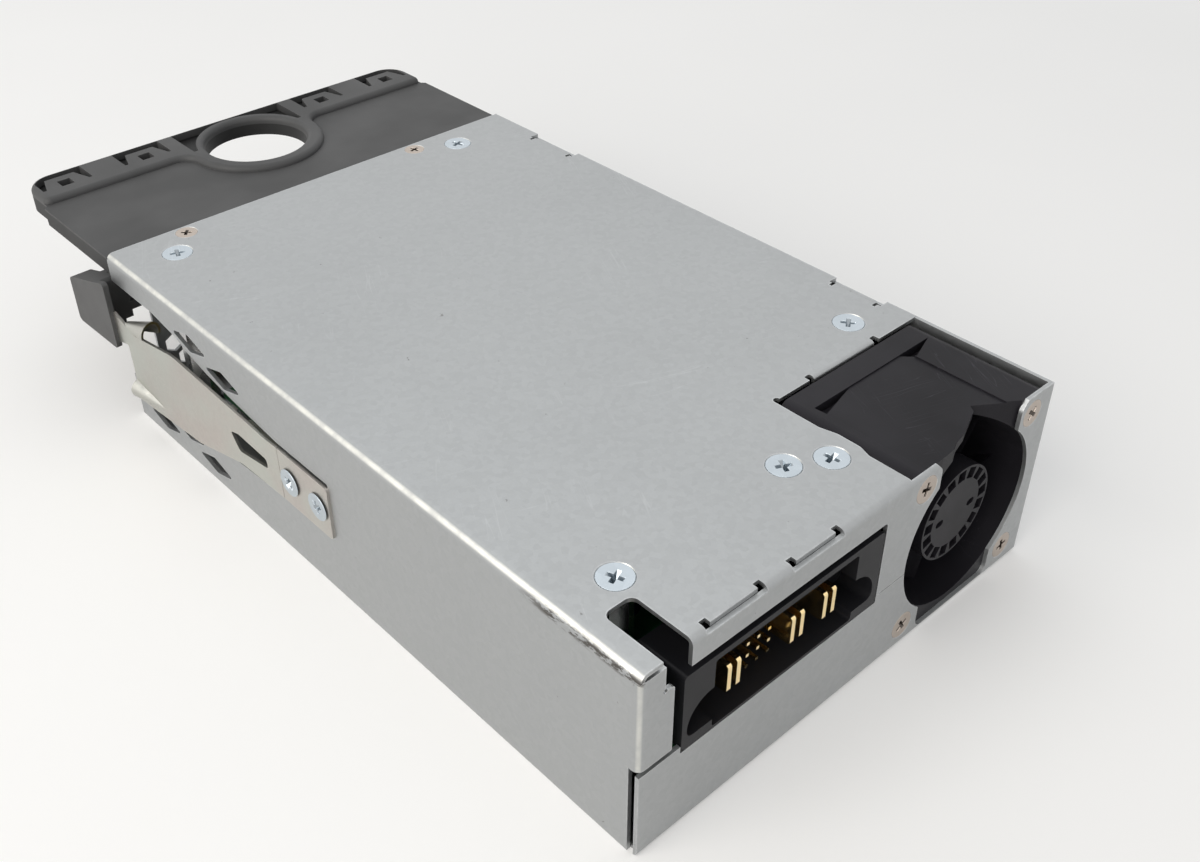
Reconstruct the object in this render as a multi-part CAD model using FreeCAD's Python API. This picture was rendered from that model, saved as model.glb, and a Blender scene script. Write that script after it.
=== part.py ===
"""Hot swap server power supply: a folded steel case with a leaf latch, a finger handle,
a 40 mm fan beside the output connector, and the power stage that it holds.

Millimetres, +Z up.  The origin is the centre of the case's bottom face.  -Y is the inner end,
with the output connector and the fan; +Y is the outer end, with the handle and the mains inlet.
"""

import FreeCAD, Part
import math
import os

V = FreeCAD.Vector
X_AXIS, Y_AXIS, Z_AXIS = V(1, 0, 0), V(0, 1, 0), V(0, 0, 1)

# ---- case ------------------------------------------------------------------------------------
body_width = 105.5
body_length = 160.5
body_height = 41.0
sheet = 0.8  # steel sheet of the case
seam_gap = 0.1  # between neighbouring sheets
top_bend = 1.6  # outer radius of the long bend between cover and left wall
edge_bend = 1.4  # outer radius of the short bends
base_bend = 1.0

left, right = -body_width / 2, body_width / 2
front, rear = -body_length / 2, body_length / 2
deck = body_height - sheet  # underside of the cover
wall_in = right - sheet  # inner face of the right wall

# ---- fan -------------------------------------------------------------------------------------
fan_size = 40.0
fan_depth = 29.0
fan_side_gap = 1.1  # to the right wall
fan_wall = 1.4  # thinnest wall round the duct
fan_bore = fan_size / 2 - fan_wall
fan_front_flange = 3.7
fan_rear_flange = 5.1
fan_waist = 0.8  # how far the sides step in between the flanges
fan_panel = (-16.2, 10.4)  # sunk panel in the top, from the fan's axis
fan_panel_depth = 0.3
fan_pocket_depth = 2.0
fan_mount_bore = 2.1  # radius of the mounting holes in the rear flange
fan_screw_inset = 4.0  # from the fan's sides
fan_screw_pitch = fan_size - 2 * fan_screw_inset
fan_screw_shank = 2.1
hub_radius = 10.0
hub_wall = 1.0
hub_recess = 1.8
hub_back_gap = 2.5  # between the hub's open end and the motor plate
hub_lid = 1.6
motor_plate = 2.9  # thickness of the motor plate and its struts
blade_tip_gap = 0.6
blade_count = 7
hub_windows = 17
shaft_radius = 1.5
shaft_clearance = 0.05
bearing_radius = 3.0
bearing_length = 3.0
tube_wall = 1.0
magnet_wall = 1.0
magnet_gap = 0.4
strut_width = 2.2
tube_setback, shaft_setback = 3.0, 0.6  # behind the hub's front
stator_setback, stator_back, coil_reach = 5.5, 3.0, 0.8
blade_sections = ((12.0, 52.0), (14.5, 38.0))  # chord and pitch at the hub and at the tip
blade_back, blade_belly = 1.7, 0.9  # camber of its two faces
blade_place = 0.4  # along the hub
fan_scallop = (
    (-11.6, -1), (-11.2, 0.0), (-7.6, 0.2), (-5.9, 1.0), (-3.1, 1.5), (2.1, 3.6),
    (4.0, 4.4), (4.9, 5.7), (12.6, 0.3), (12.9, -1),
)

fan_x = wall_in - fan_side_gap - fan_size / 2
fan_z = sheet + seam_gap + fan_size / 2
fan_front = front + sheet
fan_back = fan_front + fan_depth
fan_left = fan_x - fan_size / 2 - left  # the fan's left side, from the left wall
hub_front = fan_front + hub_recess
hub_length = fan_depth - motor_plate - hub_recess - hub_back_gap

# ---- openings at the inner end -----------------------------------------------------------------
fan_opening = 18.5  # radius of the air opening in the end sheets
fan_opening_half = 11.3  # half width of its straight-sided part
opening_flare, opening_neck = 3.2, 1.8  # rounded ears where it opens at the top
seam_height = 19.0  # where cover and base meet on the end face
flange_top = 34.4
flange_start = 1.0  # above the seam
slot_share, slot_depth = 0.425, 12.7  # open slot in the top: its left side as a share of its right
slot_round = 0.25  # corner radius as a share of its width
flange_share, flange_step_share = 0.77, 0.56  # cover's return flange beside the connector
flange_round, flange_hole = 0.7, 0.45
strip_gap = 1.7  # between the connector and the strip above it
strip_reach = 1.3  # how far the slot reaches over the connector
leg_gap = 0.2  # between the connector and the sheets round it
foot_gap = 0.1
bend_slots = ((4.4, 17.6), (23.7, 36.0))  # from the connector's left side
bend_slot_drop = 1.0  # how far the strip's top and the sheet's edge stand back at the slots
relief = 1.4  # relief notches at the ends of bends
relief_reach = 2.1
cutout_side = 0.3  # top cut-out to the fan's left side
cutout_back = 0.9  # top cut-out to the fan's rear flange
cutout_bulge = 0.9  # how far the sheet widens at the screw beside the fan
lip_tab = (-9.1, 8.6)  # bent lip at the back of the cut-out, from the fan's axis
lip_bend = 0.9
lip_depth = 4.0
side_tab_depth = 5.0
side_tabs = ((38.5, 50.0), (body_length - 30.5, body_length - 17.0))
corner_slit = 1.2
panel_inset = 0.2  # of the base's end panel from the case's left side

# ---- screws ------------------------------------------------------------------------------------
cover_head = 3.3
cover_head_depth = 1.8
cover_shank = 1.5
cover_screw_length = 9.0
post_flats = 5.4
cover_screw_places = (
    (11.5, 17.3),
    (fan_left - 12.9, 17.6),
    (fan_left - 5.3, 13.5),
    (body_width - 11.7, 38.3),
    (11.5, body_length - 9.4),
    (body_width - 17.8, body_length - 7.1),
)
handle_head = 2.4
handle_head_depth = 1.2
handle_shank = 1.2
handle_screw_inset = 2.7  # from the case's outer edge
handle_screw_places = (
    (17.3, body_length - handle_screw_inset),
    (body_width - 27.5, body_length - handle_screw_inset),
)
fan_head = 2.9
fan_head_depth = 1.3
fan_screw_length = 10.0
latch_head = 2.9
latch_head_height = 0.9
latch_shank = 1.5
recess_width = 0.7

# ---- latch (y from the case's outer end) -------------------------------------------------------
leaf = 0.6  # thickness of the spring leaf
leaf_root = -80.2  # where the leaf starts
leaf_hinge = -63.5  # where it leaves the wall
leaf_shoulder = -6.5  # end of its wide part
leaf_tip = 10.5  # end of its tongue, inside the tab
leaf_middle = 20.2  # height of the screws and of the narrow part's middle
leaf_root_half = 6.1
leaf_belly, leaf_heel = 9.9, 8.1  # height of the lower edge at the flare's end and at the shoulder
leaf_crown, leaf_nape = 29.2, 26.6  # height of the upper edge in the same two places
leaf_low_start, leaf_low_end = -48.5, -31.5  # where the lower edge falls
leaf_high_start, leaf_high_end = -59.5, -30.5  # where the upper edge rises
leaf_slope = 1.6  # degrees away from the wall at rest
leaf_slit = 0.12  # between the fixed end and the arm
tongue_low, tongue_high = 22.6, deck - 11.2
ear_length, ear_radius, ear_tip = 7.0, 2.7, 0.8  # rolled ear on the shoulder's upper corner
ear_z, ear_foot = 27.2, 0.9  # height of its middle, and how far it reaches below
heel_length, heel_radius, heel_tip, heel_z = 12.0, 2.4, 0.5, 11.2  # dished lower corner
tab_front, tab_rear = -2.5, 14.3
tab_low = 20.0
tab_rear_drop, tab_front_drop = 9.2, 4.0  # from the cover's underside down to the tab's sloping top
tab_rear_top, tab_front_top = deck - tab_rear_drop, deck - tab_front_drop
tab_outside, tab_inside = 0.9, 3.2  # plastic on the outer and inner side of the leaf
tab_step = 0.7  # the inner part starts beyond the case's end
tab_block = (deck - 16.0, deck - 6.6, 5.0)  # thicker part inside the tab: its heights, and its reach
tab_block_length = 8.0
tab_teeth = ((deck - 10.9, deck - 9.7, 6.5), (deck - 14.4, deck - 12.4, 7.7))  # ribs standing on it
catch_front, catch_rear = -58.9, -46.2
catch_low, catch_high = 17.3, 21.8
catch_front_low, catch_front_high = 18.7, 20.9
latch_screw_ys = (-76.6, -67.1)
nut_plate = 2.0
nut_plate_margin = 4.0  # beyond the screws, and above and below them
notch_start = -62.7  # notch in the wall behind the leaf, open at the outer end
notch_low, notch_low_end = 13.2, 10.8
notch_edge = ((-62.7, 26.9), (-46.5, 28.6), (-38.5, 29.8), (-30.5, 31.6), (-26.5, 33.2), (-17.0, 34.7))
slot_start, slot_width = -79.9, 1.0  # slot above the leaf's fixed end, running out of the notch
vent_half_length, vent_half_height = 7.0, 2.05
vents = ((-32.5, 34.5), (-44.5, 31.6), (-33.5, 4.2), (-12.0, 4.2), (-23.4, 7.4))

# ---- handle ------------------------------------------------------------------------------------
handle_reach = 43.0
handle_thick = 4.0
handle_skin = 2.0
handle_strip = 12.5  # width of the raised outer strip
handle_raise = 1.4
handle_roll = 1.2  # rounding of the raised edges
handle_corner = 6.0
handle_shoulder = 0.9  # how far the strip's ends step in
handle_rib = 1.5
handle_pockets = 6  # underside pockets in a row
ring_from_edge = 15.5  # the ring's middle, from the handle's outer edge
ring_bore = 12.2
ring_outer = 16.2
ring_blend = 4.0  # where the ring runs into the strip
ring_back = 14.1  # the ring's outer radius in the pocket behind it
ring_pocket_half = 14.9
ring_relief = 0.7  # how far the ring's underside stands back
lug_half, lug_depth = 5.5, 6.0
grip_pocket_offsets = (24.5, 44.4)
grip_pocket_half, grip_pocket_base = 5.9, 2.3
grip_leg_wide, grip_leg_narrow = 2.4, 0.8  # the pocket's legs taper towards the case
grip_pocket_depth = 2.2
grip_pocket_reach = 8.2
grip_hole = 3.0
rim_width = 0.9

# ---- output connector (x and z from the connector's lower left corner) ---------------------------
conn_width, conn_height, conn_depth = 47.7, 16.4, 10.2
conn_low = 17.6
conn_share = 0.563  # of the free space between wall and fan, how much lies left of the connector
conn_wall = 1.2
conn_foot = 0.5  # height of the thin wall under the contacts
conn_floor = 1.6
conn_round = 0.8
conn_face_gap = 0.05
cavity_left, cavity_right = 6.8, 6.7  # solid face at each end
cavity_round = 0.6
lobe_left, lobe_right = 1.1, 1.4
lobe_low, lobe_high = 2.2, 9.5  # of the side lobes, above the connector's bottom
lobe_floor = 2.0  # how much shallower the lobes are
lobe_round, lobe_foot_round = 5.5, 1.5
blade_xs = (10.6, 12.7, 25.6, 27.8, 33.6, 35.8)
blade_thick = 0.9
blade_low, blade_high = 5.2, 11.1
blade_recess = 0.35
blade_tail = 2.0
blade_nose = 0.6
pin_columns = (17.6, 20.1, 22.7)
pin_rows = (3.9, 6.4, 9.0, 11.5)
pin_size = 0.64
pin_recess = 2.8
pin_step = 1.6  # between the legs of the pin rows on the board

conn_left = sheet + conn_share * (fan_left - sheet - conn_width)
conn_right = conn_left + conn_width
conn_high = conn_low + conn_height
conn_front = front + conn_face_gap
slot_right = conn_left + strip_reach
strip_bottom = conn_high + strip_gap
leg_edge = conn_right + leg_gap  # left edge of the cover's leg beside the fan
slot_left = slot_share * slot_right
flange_right_edge = flange_share * conn_left
flange_step_edge = flange_step_share * conn_left

# ---- boards (x from the right wall where a part stands beside it, y from either end) ---------------
board = 1.6
conn_board_low = conn_low - board
conn_board_front = sheet + 0.65
conn_board_left, conn_board_gap = 3.0, 2.1  # from the left wall, and to the fan
conn_board_right, conn_board_back = fan_left - conn_board_gap, 40.0
main_board_low = 4.0
main_board_front, main_board_back = 31.5, body_length - 12.5
main_board_left, main_board_right = body_width - 91.5, body_width - 2.5
insulator = 0.3
insulator_margin = 2.0
standoff_flats = 5.0
board_screw_head, board_screw_height = 2.8, 1.6
board_screw_shank = 1.4
board_screw_length = 2.4  # below the board
conn_board_mounts = ((6.5, 26.0), (fan_left - 6.1, 27.0))
main_board_mounts = (
    (body_width - 87.5, 44.0),
    (body_width - 7.0, 60.0),
    (body_width - 87.5, body_length - 17.5),
    (body_width - 7.0, body_length - 17.5),
)

# ---- power stage ---------------------------------------------------------------------------------
bulk_radius, bulk_length = 11.0, 36.0
bulk_x = body_width - 22.0
bulk_ys = (43.0, 81.0)
core_width, core_depth, core_height = 33.0, 28.0, 26.0
core_x, core_y = body_width - 52.5, 72.0
core_leg, core_centre_leg, core_yoke = 8.0, 9.0, 5.0
core_foot = 1.0
core_window = (core_width - 2 * core_leg - core_centre_leg) / 2
choke_outer, choke_inner, choke_thick = 13.0, 7.0, 9.0
choke_place = (body_width - 52.5, 98.0)
choke_turns = 16
emi_outer, emi_inner, emi_thick = 10.5, 5.5, 7.0
emi_place = (body_width - 61.5, body_length - 27.5)
emi_turns = 12
wire = 1.3  # thickness of the chokes' winding
choke_lift, choke_foot = 1.0, 4.0
xcap_width, xcap_depth, xcap_height = 17.0, 8.0, 15.0
xcap_place = (body_width - 82.5, body_length - 32.5)
out_cap_radius, out_cap_height = 4.0, 16.0
out_cap_xs = (15.0, 24.0, 33.0)
out_cap_y = 29.5
primary_sink_x, primary_sink_ys = body_width - 78.0, (62.0, 104.0)
output_sink_x, output_sink_ys = body_width - 75.5, (42.5, 56.0)
sink_base, sink_fin, sink_fin_reach, sink_fins = 3.0, 1.2, 8.0, 5
sink_height, output_sink_height = 30.0, 26.0
transistor_width, transistor_thick, transistor_height = 10.0, 4.5, 15.0
transistor_lift, transistor_pin, transistor_pitch = 4.0, 0.8, 2.54
transistor_ys = (70.0, 84.0, 98.0)
bus_bar_thick, bus_bar_width = 1.5, 8.0
bus_bar_xs = (fan_left - 19.6, fan_left - 9.6)
bus_bar_y = 36.5

# ---- outer end ---------------------------------------------------------------------------------
inlet_x, inlet_z = body_width - 38.5, 18.6
inlet_width, inlet_height = 27.0, 19.6
inlet_flange, inlet_flange_thick = 2.0, 2.0
inlet_depth = 20.0
inlet_wall, inlet_back = 1.6, 3.0
inlet_bevel = 5.0
inlet_pin_gap = 7.0
inlet_pin_width, inlet_pin_height = 2.0, 4.0
inlet_pin_recess, inlet_pin_tail = 5.0, 6.0
panel_top_gap = 0.2  # to the handle above
panel_top = deck - handle_thick - panel_top_gap
panel_left_relief = 6.4
panel_flange = 8.0
hex_pitch = 5.0
hex_flats = 4.0
mesh_border, mesh_end = 2.5, 4.5
mesh_edge = 1.8  # above and below
inlet_left = inlet_x - inlet_width / 2 - inlet_flange
inlet_right = inlet_x + inlet_width / 2 + inlet_flange
mesh_fields = (
    (panel_left_relief + mesh_edge, inlet_left - mesh_border),
    (inlet_right + mesh_border, body_width - mesh_end),
)
mesh_low, mesh_high = 4.2, panel_top - mesh_edge
led_x, led_z, led_radius = body_width - 12.5, deck - 10.2, 1.5
led_body, led_collar, led_keep = 7.0, 0.5, 1.5


# ---- geometry helpers ----------------------------------------------------------------------------
def box(x0, x1, y0, y1, z0, z1):
    return Part.makeBox(x1 - x0, y1 - y0, z1 - z0, V(x0, y0, z0))


def rod(x, y, z, radius, length, axis=Z_AXIS):
    return Part.makeCylinder(radius, length, V(x, y, z), axis)


def to_plane(plane, u, v, w):
    """A point of a drawing plane: xy, xz or yz, at level w of the plane's normal."""
    return {"xy": V(u, v, w), "xz": V(u, w, v), "yz": V(w, u, v)}[plane]


def plate(plane, corners, low, high):
    """A closed outline of (u, v) or (u, v, corner radius) points, extruded from low to high."""
    count = len(corners)
    flat = [V(c[0], c[1], 0) for c in corners]
    joints = []
    for i, corner in enumerate(corners):
        back = (flat[i - 1] - flat[i]).normalize()
        ahead = (flat[(i + 1) % count] - flat[i]).normalize()
        radius = corner[2] if len(corner) > 2 else 0.0
        half = back.getAngle(ahead) / 2
        reach = radius / math.tan(half)
        middle = (back + ahead).normalize() * (radius / math.sin(half) - radius)
        joints.append((flat[i] + back * reach, flat[i] + middle, flat[i] + ahead * reach, radius))
    edges = []
    for i, (start, middle, end, radius) in enumerate(joints):
        three = [to_plane(plane, p.x, p.y, low) for p in (start, middle, end)]
        if radius > 0:
            edges.append(Part.Arc(*three).toShape())
        following = to_plane(plane, joints[(i + 1) % count][0].x, joints[(i + 1) % count][0].y, low)
        if (following - three[2]).Length > 1e-6:
            edges.append(Part.LineSegment(three[2], following).toShape())
    face = Part.Face(Part.Wire(edges))
    solid = face.extrude(to_plane(plane, 0, 0, high - low))
    return solid if solid.Volume > 0 else solid.reversed()


def rectangle(u0, u1, v0, v1, radius=0.0):
    return [(u0, v0, radius), (u1, v0, radius), (u1, v1, radius), (u0, v1, radius)]


def polygon_rod(x, y, z, flats, length, sides=6, axis="z"):
    """A regular prism given by its width across flats."""
    reach = flats / 2 / math.cos(math.pi / sides)
    turns = [2 * math.pi * (i + 0.5) / sides for i in range(sides)]
    offsets = [(reach * math.cos(a), reach * math.sin(a)) for a in turns]
    if axis == "z":
        return plate("xy", [(x + u, y + v) for u, v in offsets], z, z + length)
    return plate("xz", [(x + u, z + v) for u, v in offsets], y, y + length)


def angle_section(leg_a, leg_b, length, bend):
    """Bent sheet: one leg along +X, one along -Z from the outer corner at the origin, run along +Y."""
    corners = [
        (0, 0, bend),
        (leg_a, 0),
        (leg_a, -sheet),
        (sheet, -sheet, bend - sheet),
        (sheet, -leg_b),
        (0, -leg_b),
    ]
    return plate("xz", corners, 0, length)


def turned(shape, axis, degrees):
    copy = shape.copy()
    copy.rotate(V(0, 0, 0), axis, degrees)
    return copy


def moved(shape, x, y, z):
    copy = shape.copy()
    copy.translate(V(x, y, z))
    return copy


def fuse(shapes):
    whole = shapes[0]
    if len(shapes) > 1:
        whole = whole.fuse(shapes[1:])
    return whole.removeSplitter()


def cut(shape, tools):
    return shape.cut(Part.makeCompound(tools)) if tools else shape


def group(shapes):
    return Part.makeCompound(shapes)


def aim(shape, x, y, z, direction):
    """Turns a screw drawn with its head up (+Z) at the origin towards a direction, and places it."""
    turn = {"up": (X_AXIS, 0), "front": (X_AXIS, 90), "rear": (X_AXIS, -90), "left": (Y_AXIS, -90)}
    axis, degrees = turn[direction]
    return moved(turned(shape, axis, degrees), x, y, z)


# ---- screws --------------------------------------------------------------------------------------
def cross_recess(depth, reach):
    arms = [box(-reach, reach, -recess_width / 2, recess_width / 2, -depth, 0.01)]
    arms.append(turned(arms[0], Z_AXIS, 90))
    return fuse(arms)


def sunk_blank(head, head_depth, shank, length):
    """A countersunk screw without its recess: it also cuts its own seat."""
    cone = Part.makeCone(shank, head, head_depth, V(0, 0, -head_depth))
    return fuse([cone, rod(0, 0, -length, shank, length - head_depth + 0.01)])


def pan_screw(head, head_height, shank, length):
    """A low domed head: a disc cut by a sphere."""
    rise = head_height * 0.6
    ball = (head ** 2 + rise ** 2) / (2 * rise)
    dome = rod(0, 0, 0, head, head_height).common(Part.makeSphere(ball, V(0, 0, head_height - ball)))
    return fuse([dome, rod(0, 0, -length, shank, length)])


def lathe(profile, x, y, z, direction=Z_AXIS):
    """Turns a closed (radius, height) outline about an axis through a point."""
    points = [V(r, 0, h) for r, h in profile]
    face = Part.Face(Part.makePolygon(points + points[:1]))
    solid = face.revolve(V(0, 0, 0), Z_AXIS, 360)
    if direction == Y_AXIS:
        solid.rotate(V(0, 0, 0), X_AXIS, -90)
    solid.translate(V(x, y, z))
    return solid if solid.Volume > 0 else solid.reversed()


def can_outline(radius, length, groove_at, edge):
    """A capacitor can's outline: bevelled ends, and the rolled groove near its base."""
    dip = edge * 0.7
    return [(0, 0), (radius - edge, 0), (radius, edge), (radius, groove_at - dip), (radius - dip, groove_at),
            (radius, groove_at + dip), (radius, length - edge), (radius - edge, length), (0, length)]


cover_blank = sunk_blank(cover_head, cover_head_depth, cover_shank, cover_screw_length)
handle_blank = sunk_blank(handle_head, handle_head_depth, handle_shank, sheet + handle_thick - 0.4)
fan_blank = sunk_blank(fan_head, fan_head_depth, fan_screw_shank / 2, fan_screw_length)


def cover_screw_seats():
    return [moved(cover_blank, left + x, front + y, body_height) for x, y in cover_screw_places]


def handle_screw_seats():
    return [moved(handle_blank, left + x, front + y, body_height) for x, y in handle_screw_places]


def fan_screw_places():
    half = fan_screw_pitch / 2
    return [(fan_x + sx * half, fan_z + sz * half) for sx in (-1, 1) for sz in (-1, 1)]


def fan_screw_seats():
    return [aim(fan_blank, x, front, z, "front") for x, z in fan_screw_places()]


def make_cover_screws():
    recess = cross_recess(1.3, 1.5)
    return group([moved(cover_blank.cut(recess), left + x, front + y, body_height)
                  for x, y in cover_screw_places])


def make_handle_screws():
    recess = cross_recess(0.9, 1.2)
    return group([moved(handle_blank.cut(recess), left + x, front + y, body_height)
                  for x, y in handle_screw_places])


def make_fan_screws():
    blank = fan_blank.cut(cross_recess(1.0, 1.4))
    return group([aim(blank, x, front, z, "front") for x, z in fan_screw_places()])


def make_latch_screws():
    length = leaf + sheet + nut_plate
    screw = pan_screw(latch_head, latch_head_height, latch_shank, length)
    screw = screw.cut(moved(cross_recess(0.8, 1.4), 0, 0, latch_head_height))
    return group([aim(screw, left - leaf, rear + y, leaf_middle, "left") for y in latch_screw_ys])


def post_clearances(low, high):
    """Holes that let the cover's posts through a board or a flange."""
    return [rod(left + x, front + y, low, post_flats * 0.75, high - low) for x, y in cover_screw_places]


def make_cover_posts():
    posts = [polygon_rod(left + x, front + y, sheet, post_flats, deck - sheet)
             for x, y in cover_screw_places]
    return group([p.cut(s) for p, s in zip(posts, cover_screw_seats())])


# ---- case ----------------------------------------------------------------------------------------
def fan_air_opening(y0, y1):
    """The air opening: a circle, with a straight-sided part down to the base and up to the top."""
    ring = rod(fan_x, y0, fan_z, fan_opening, y1 - y0, Y_AXIS)
    half, wide = fan_opening_half, fan_opening_half + opening_flare
    low, neck, high = sheet + seam_gap, body_height - opening_neck, body_height + 1
    slab = plate("xz", [
        (fan_x - half, low, 2.0),
        (fan_x + half, low, 2.0),
        (fan_x + half + 0.8, neck, opening_neck),
        (fan_x + wide, high),
        (fan_x - wide, high),
        (fan_x - half - 0.8, neck, opening_neck),
    ], y0, y1)
    return fuse([ring, slab])


def top_cutout():
    """The fan cut-out in the top, with relief notches at its corner and beside its bent lip."""
    edge = left + fan_left - cutout_side
    back = fan_back + cutout_back
    screw_y = front + cover_screw_places[2][1]
    bulge = edge + cutout_bulge
    outline = [
        (edge, front - 1),
        (edge, screw_y - 4.0, 2.0),
        (bulge, screw_y - 1.5, 2.5),
        (bulge, screw_y + 3.5, 2.5),
        (edge, screw_y + 7.0, 2.0),
        (edge, back),
        (right + 1, back),
        (right + 1, front - 1),
    ]
    notches = [rod(edge + relief / 2, back, deck - 1, relief / 2, sheet + 2)]
    for x in (fan_x + lip_tab[0] - relief / 2, fan_x + lip_tab[1] + relief / 2):
        notches.append(plate("xy", rectangle(x - relief / 2, x + relief / 2, back - 1, back + relief, 0.3),
                             deck - 1, body_height + 1))
    return fuse([plate("xy", outline, deck - 1, body_height + 1)] + notches)


def vent_hole(y, z):
    corners = [
        (rear + y - vent_half_length, z, 0.4),
        (rear + y, z - vent_half_height, 1.5),
        (rear + y + vent_half_length, z, 0.4),
        (rear + y, z + vent_half_height, 1.5),
    ]
    return plate("yz", corners, left - 1, left + sheet + 1)


def wall_notch():
    """The notch in the left wall behind the leaf, open at the outer end, with a slot ahead of it."""
    x0, x1 = left - 1, left + sheet + 1
    outline = [
        (rear + notch_start, notch_low, 1.0),
        (rear + leaf_low_end, notch_low_end, 4.0),
        (rear + 1, notch_low_end),
        (rear + 1, notch_edge[-1][1]),
    ]
    outline += [(rear + y, z, 0.8) for y, z in reversed(notch_edge)]
    top, end = notch_edge[0][1], rear + notch_start + 1.5
    slot = plate("yz", [
        (rear + slot_start, top - slot_width, slot_width * 0.49),
        (end, top - slot_width),
        (end, top),
        (rear + slot_start, top, slot_width * 0.49),
    ], x0, x1)
    return fuse([plate("yz", outline, x0, x1), slot])


def end_sheet_of_cover():
    """The end sheet bent down from the top, from the open slot to the fan."""
    x0, x1 = left + slot_right, fan_x - fan_opening_half
    bent = angle_section(edge_bend + 1, body_height - seam_height - seam_gap, x1 - x0, edge_bend)
    bent = moved(turned(bent, Z_AXIS, 90), x1, front, body_height)
    window = plate("xz", [
        (x0 - 1, seam_height - 1),
        (left + leg_edge, seam_height - 1),
        (left + leg_edge, strip_bottom, 0.8),
        (x0 - 1, strip_bottom),
    ], front - 1, front + sheet + 0.01)
    cuts = [
        window,
        fan_air_opening(front - 1, front + sheet + 0.01),
        box(left + fan_left - cutout_side, right, front + sheet, front + 5, deck - 1, body_height + 1),
    ]
    # the bend is cut away between relief notches
    low, high = body_height - bend_slot_drop, body_height + 1
    for start, end in bend_slots:
        xa, xb = left + conn_left + start, left + conn_left + end
        cuts.append(box(xa, xb, front - 1, front + bend_slot_drop, low, high))
        for x in (xa, xb - relief):
            cuts.append(box(x, x + relief, front - 1, front + relief_reach, low, high))
    return cut(bent, cuts)


def return_flange():
    """The flange bent from the left wall across the end, with a stepped upper part."""
    low = seam_height + flange_start
    strip = angle_section(flange_right_edge, edge_bend + 1, body_height - top_bend - low, edge_bend)
    strip = moved(turned(strip, X_AXIS, 90), left, front, low)
    step = plate("xz", rectangle(left + flange_step_edge, left + flange_right_edge + 1, flange_top,
                                 body_height), front - 1, front + sheet + 1)
    hole = rod(left + flange_step_edge, front - 1, flange_top, flange_hole, sheet + 2, Y_AXIS)
    strip = strip.cut(step)
    corner = [e for e in strip.Edges if e.BoundBox.ZMin > flange_top - 1e-6
              and e.BoundBox.XMin > left + flange_right_edge - 1e-6]
    return strip.makeFillet(flange_round, corner).cut(hole)


def side_tab_parts():
    """The tabs that hook inside the right wall, and what they take from the flat sheet."""
    line = wall_in - seam_gap
    tabs, trims = [], []
    for y0, y1 in side_tabs:
        for y in (y0, y1):
            trims.append(box(line - edge_bend, right + 1, front + y - relief / 2, front + y + relief / 2,
                             deck - 1, body_height + 1))
        trims.append(box(line - edge_bend - 1, right + 1, front + y0, front + y1, deck - 1,
                         body_height + 1))
        tab = turned(angle_section(edge_bend + 1, side_tab_depth, y1 - y0 - relief, edge_bend), Z_AXIS, 180)
        tabs.append(moved(tab, line, front + y1 - relief / 2, body_height))
    return tabs, trims


def make_top_cover():
    top_and_wall = moved(angle_section(body_width, body_height, body_length, top_bend),
                         left, front, body_height)
    slot_corner = slot_round * (slot_right - slot_left)
    flange_low = seam_height + flange_start
    lip_line = fan_back + cutout_back
    tabs, trims = side_tab_parts()
    # clear the straight sheet where the bends take over
    trims += [
        box(left + slot_right, right + 1, front - 1, front + edge_bend + 1, deck - 1, body_height + 1),
        box(left - 1, left + sheet + 0.01, front - 1, front + edge_bend + 1, flange_low,
            body_height - top_bend),
        box(left - 1, left + sheet + 1, front - 1, front + sheet + corner_slit, -1, flange_low),
        plate("xy", [
            (left + slot_left, front - 1),
            (left + slot_right, front - 1),
            (left + slot_right, front + slot_depth, slot_corner),
            (left + slot_left, front + slot_depth, slot_corner),
        ], deck - 1, body_height + 1),
        box(fan_x + lip_tab[0], fan_x + lip_tab[1], fan_back, lip_line + lip_bend, deck - 1,
            body_height + 1),
        top_cutout(),
        wall_notch(),
    ]
    trims += [vent_hole(y, z) for y, z in vents]
    lip = turned(angle_section(lip_bend + 0.6, lip_depth, lip_tab[1] - lip_tab[0], lip_bend), Z_AXIS, 90)
    lip = moved(lip, fan_x + lip_tab[1], lip_line, body_height)
    main = cut(top_and_wall, trims)
    whole = fuse([main, end_sheet_of_cover(), return_flange(), lip] + tabs)
    holes = cover_screw_seats() + handle_screw_seats() + fan_screw_seats()
    holes += [rod(left - 1, rear + y, leaf_middle, latch_shank, sheet + 2, X_AXIS) for y in latch_screw_ys]
    return cut(whole, holes)


def make_base_chassis():
    floor = box(left + sheet + seam_gap, right, front, rear, 0, sheet)
    wall = box(wall_in, right, front, rear, 0, deck - seam_gap)
    fan_wall = box(wall_in, right, front, fan_back + cutout_back - seam_gap, 0, body_height)
    panel = box(left + panel_inset, fan_x, front, front + sheet, 0, seam_height)
    end_flange = box(fan_x, right, front, front + sheet, 0, body_height)
    shell = fuse([floor, wall, fan_wall, panel, end_flange])
    bent = [e for e in shell.Edges if is_outer_bend(e)]
    shell = shell.makeFillet(base_bend, bent)
    tools = [
        fan_air_opening(front - 1, front + sheet + 0.001),
        box(left + conn_left - leg_gap, left + leg_edge, front - 1, front + sheet + 0.001,
            conn_low - foot_gap, seam_height + 1),
    ]
    return cut(shell, tools + fan_screw_seats())


def is_outer_bend(edge):
    """The folded outer edges of the base: bottom to end face, and bottom to right wall."""
    box_ = edge.BoundBox
    along_x = box_.XLength > body_width / 4 and box_.YLength < 1e-6
    along_y = box_.YLength > body_length / 2 and box_.XLength < 1e-6
    at_front = abs(box_.YMin - front) < 1e-6 and abs(box_.ZMin) < 1e-6 and abs(box_.ZMax) < 1e-6
    at_right = abs(box_.XMin - right) < 1e-6 and abs(box_.ZMin) < 1e-6 and abs(box_.ZMax) < 1e-6
    return (along_x and at_front) or (along_y and at_right)


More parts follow.
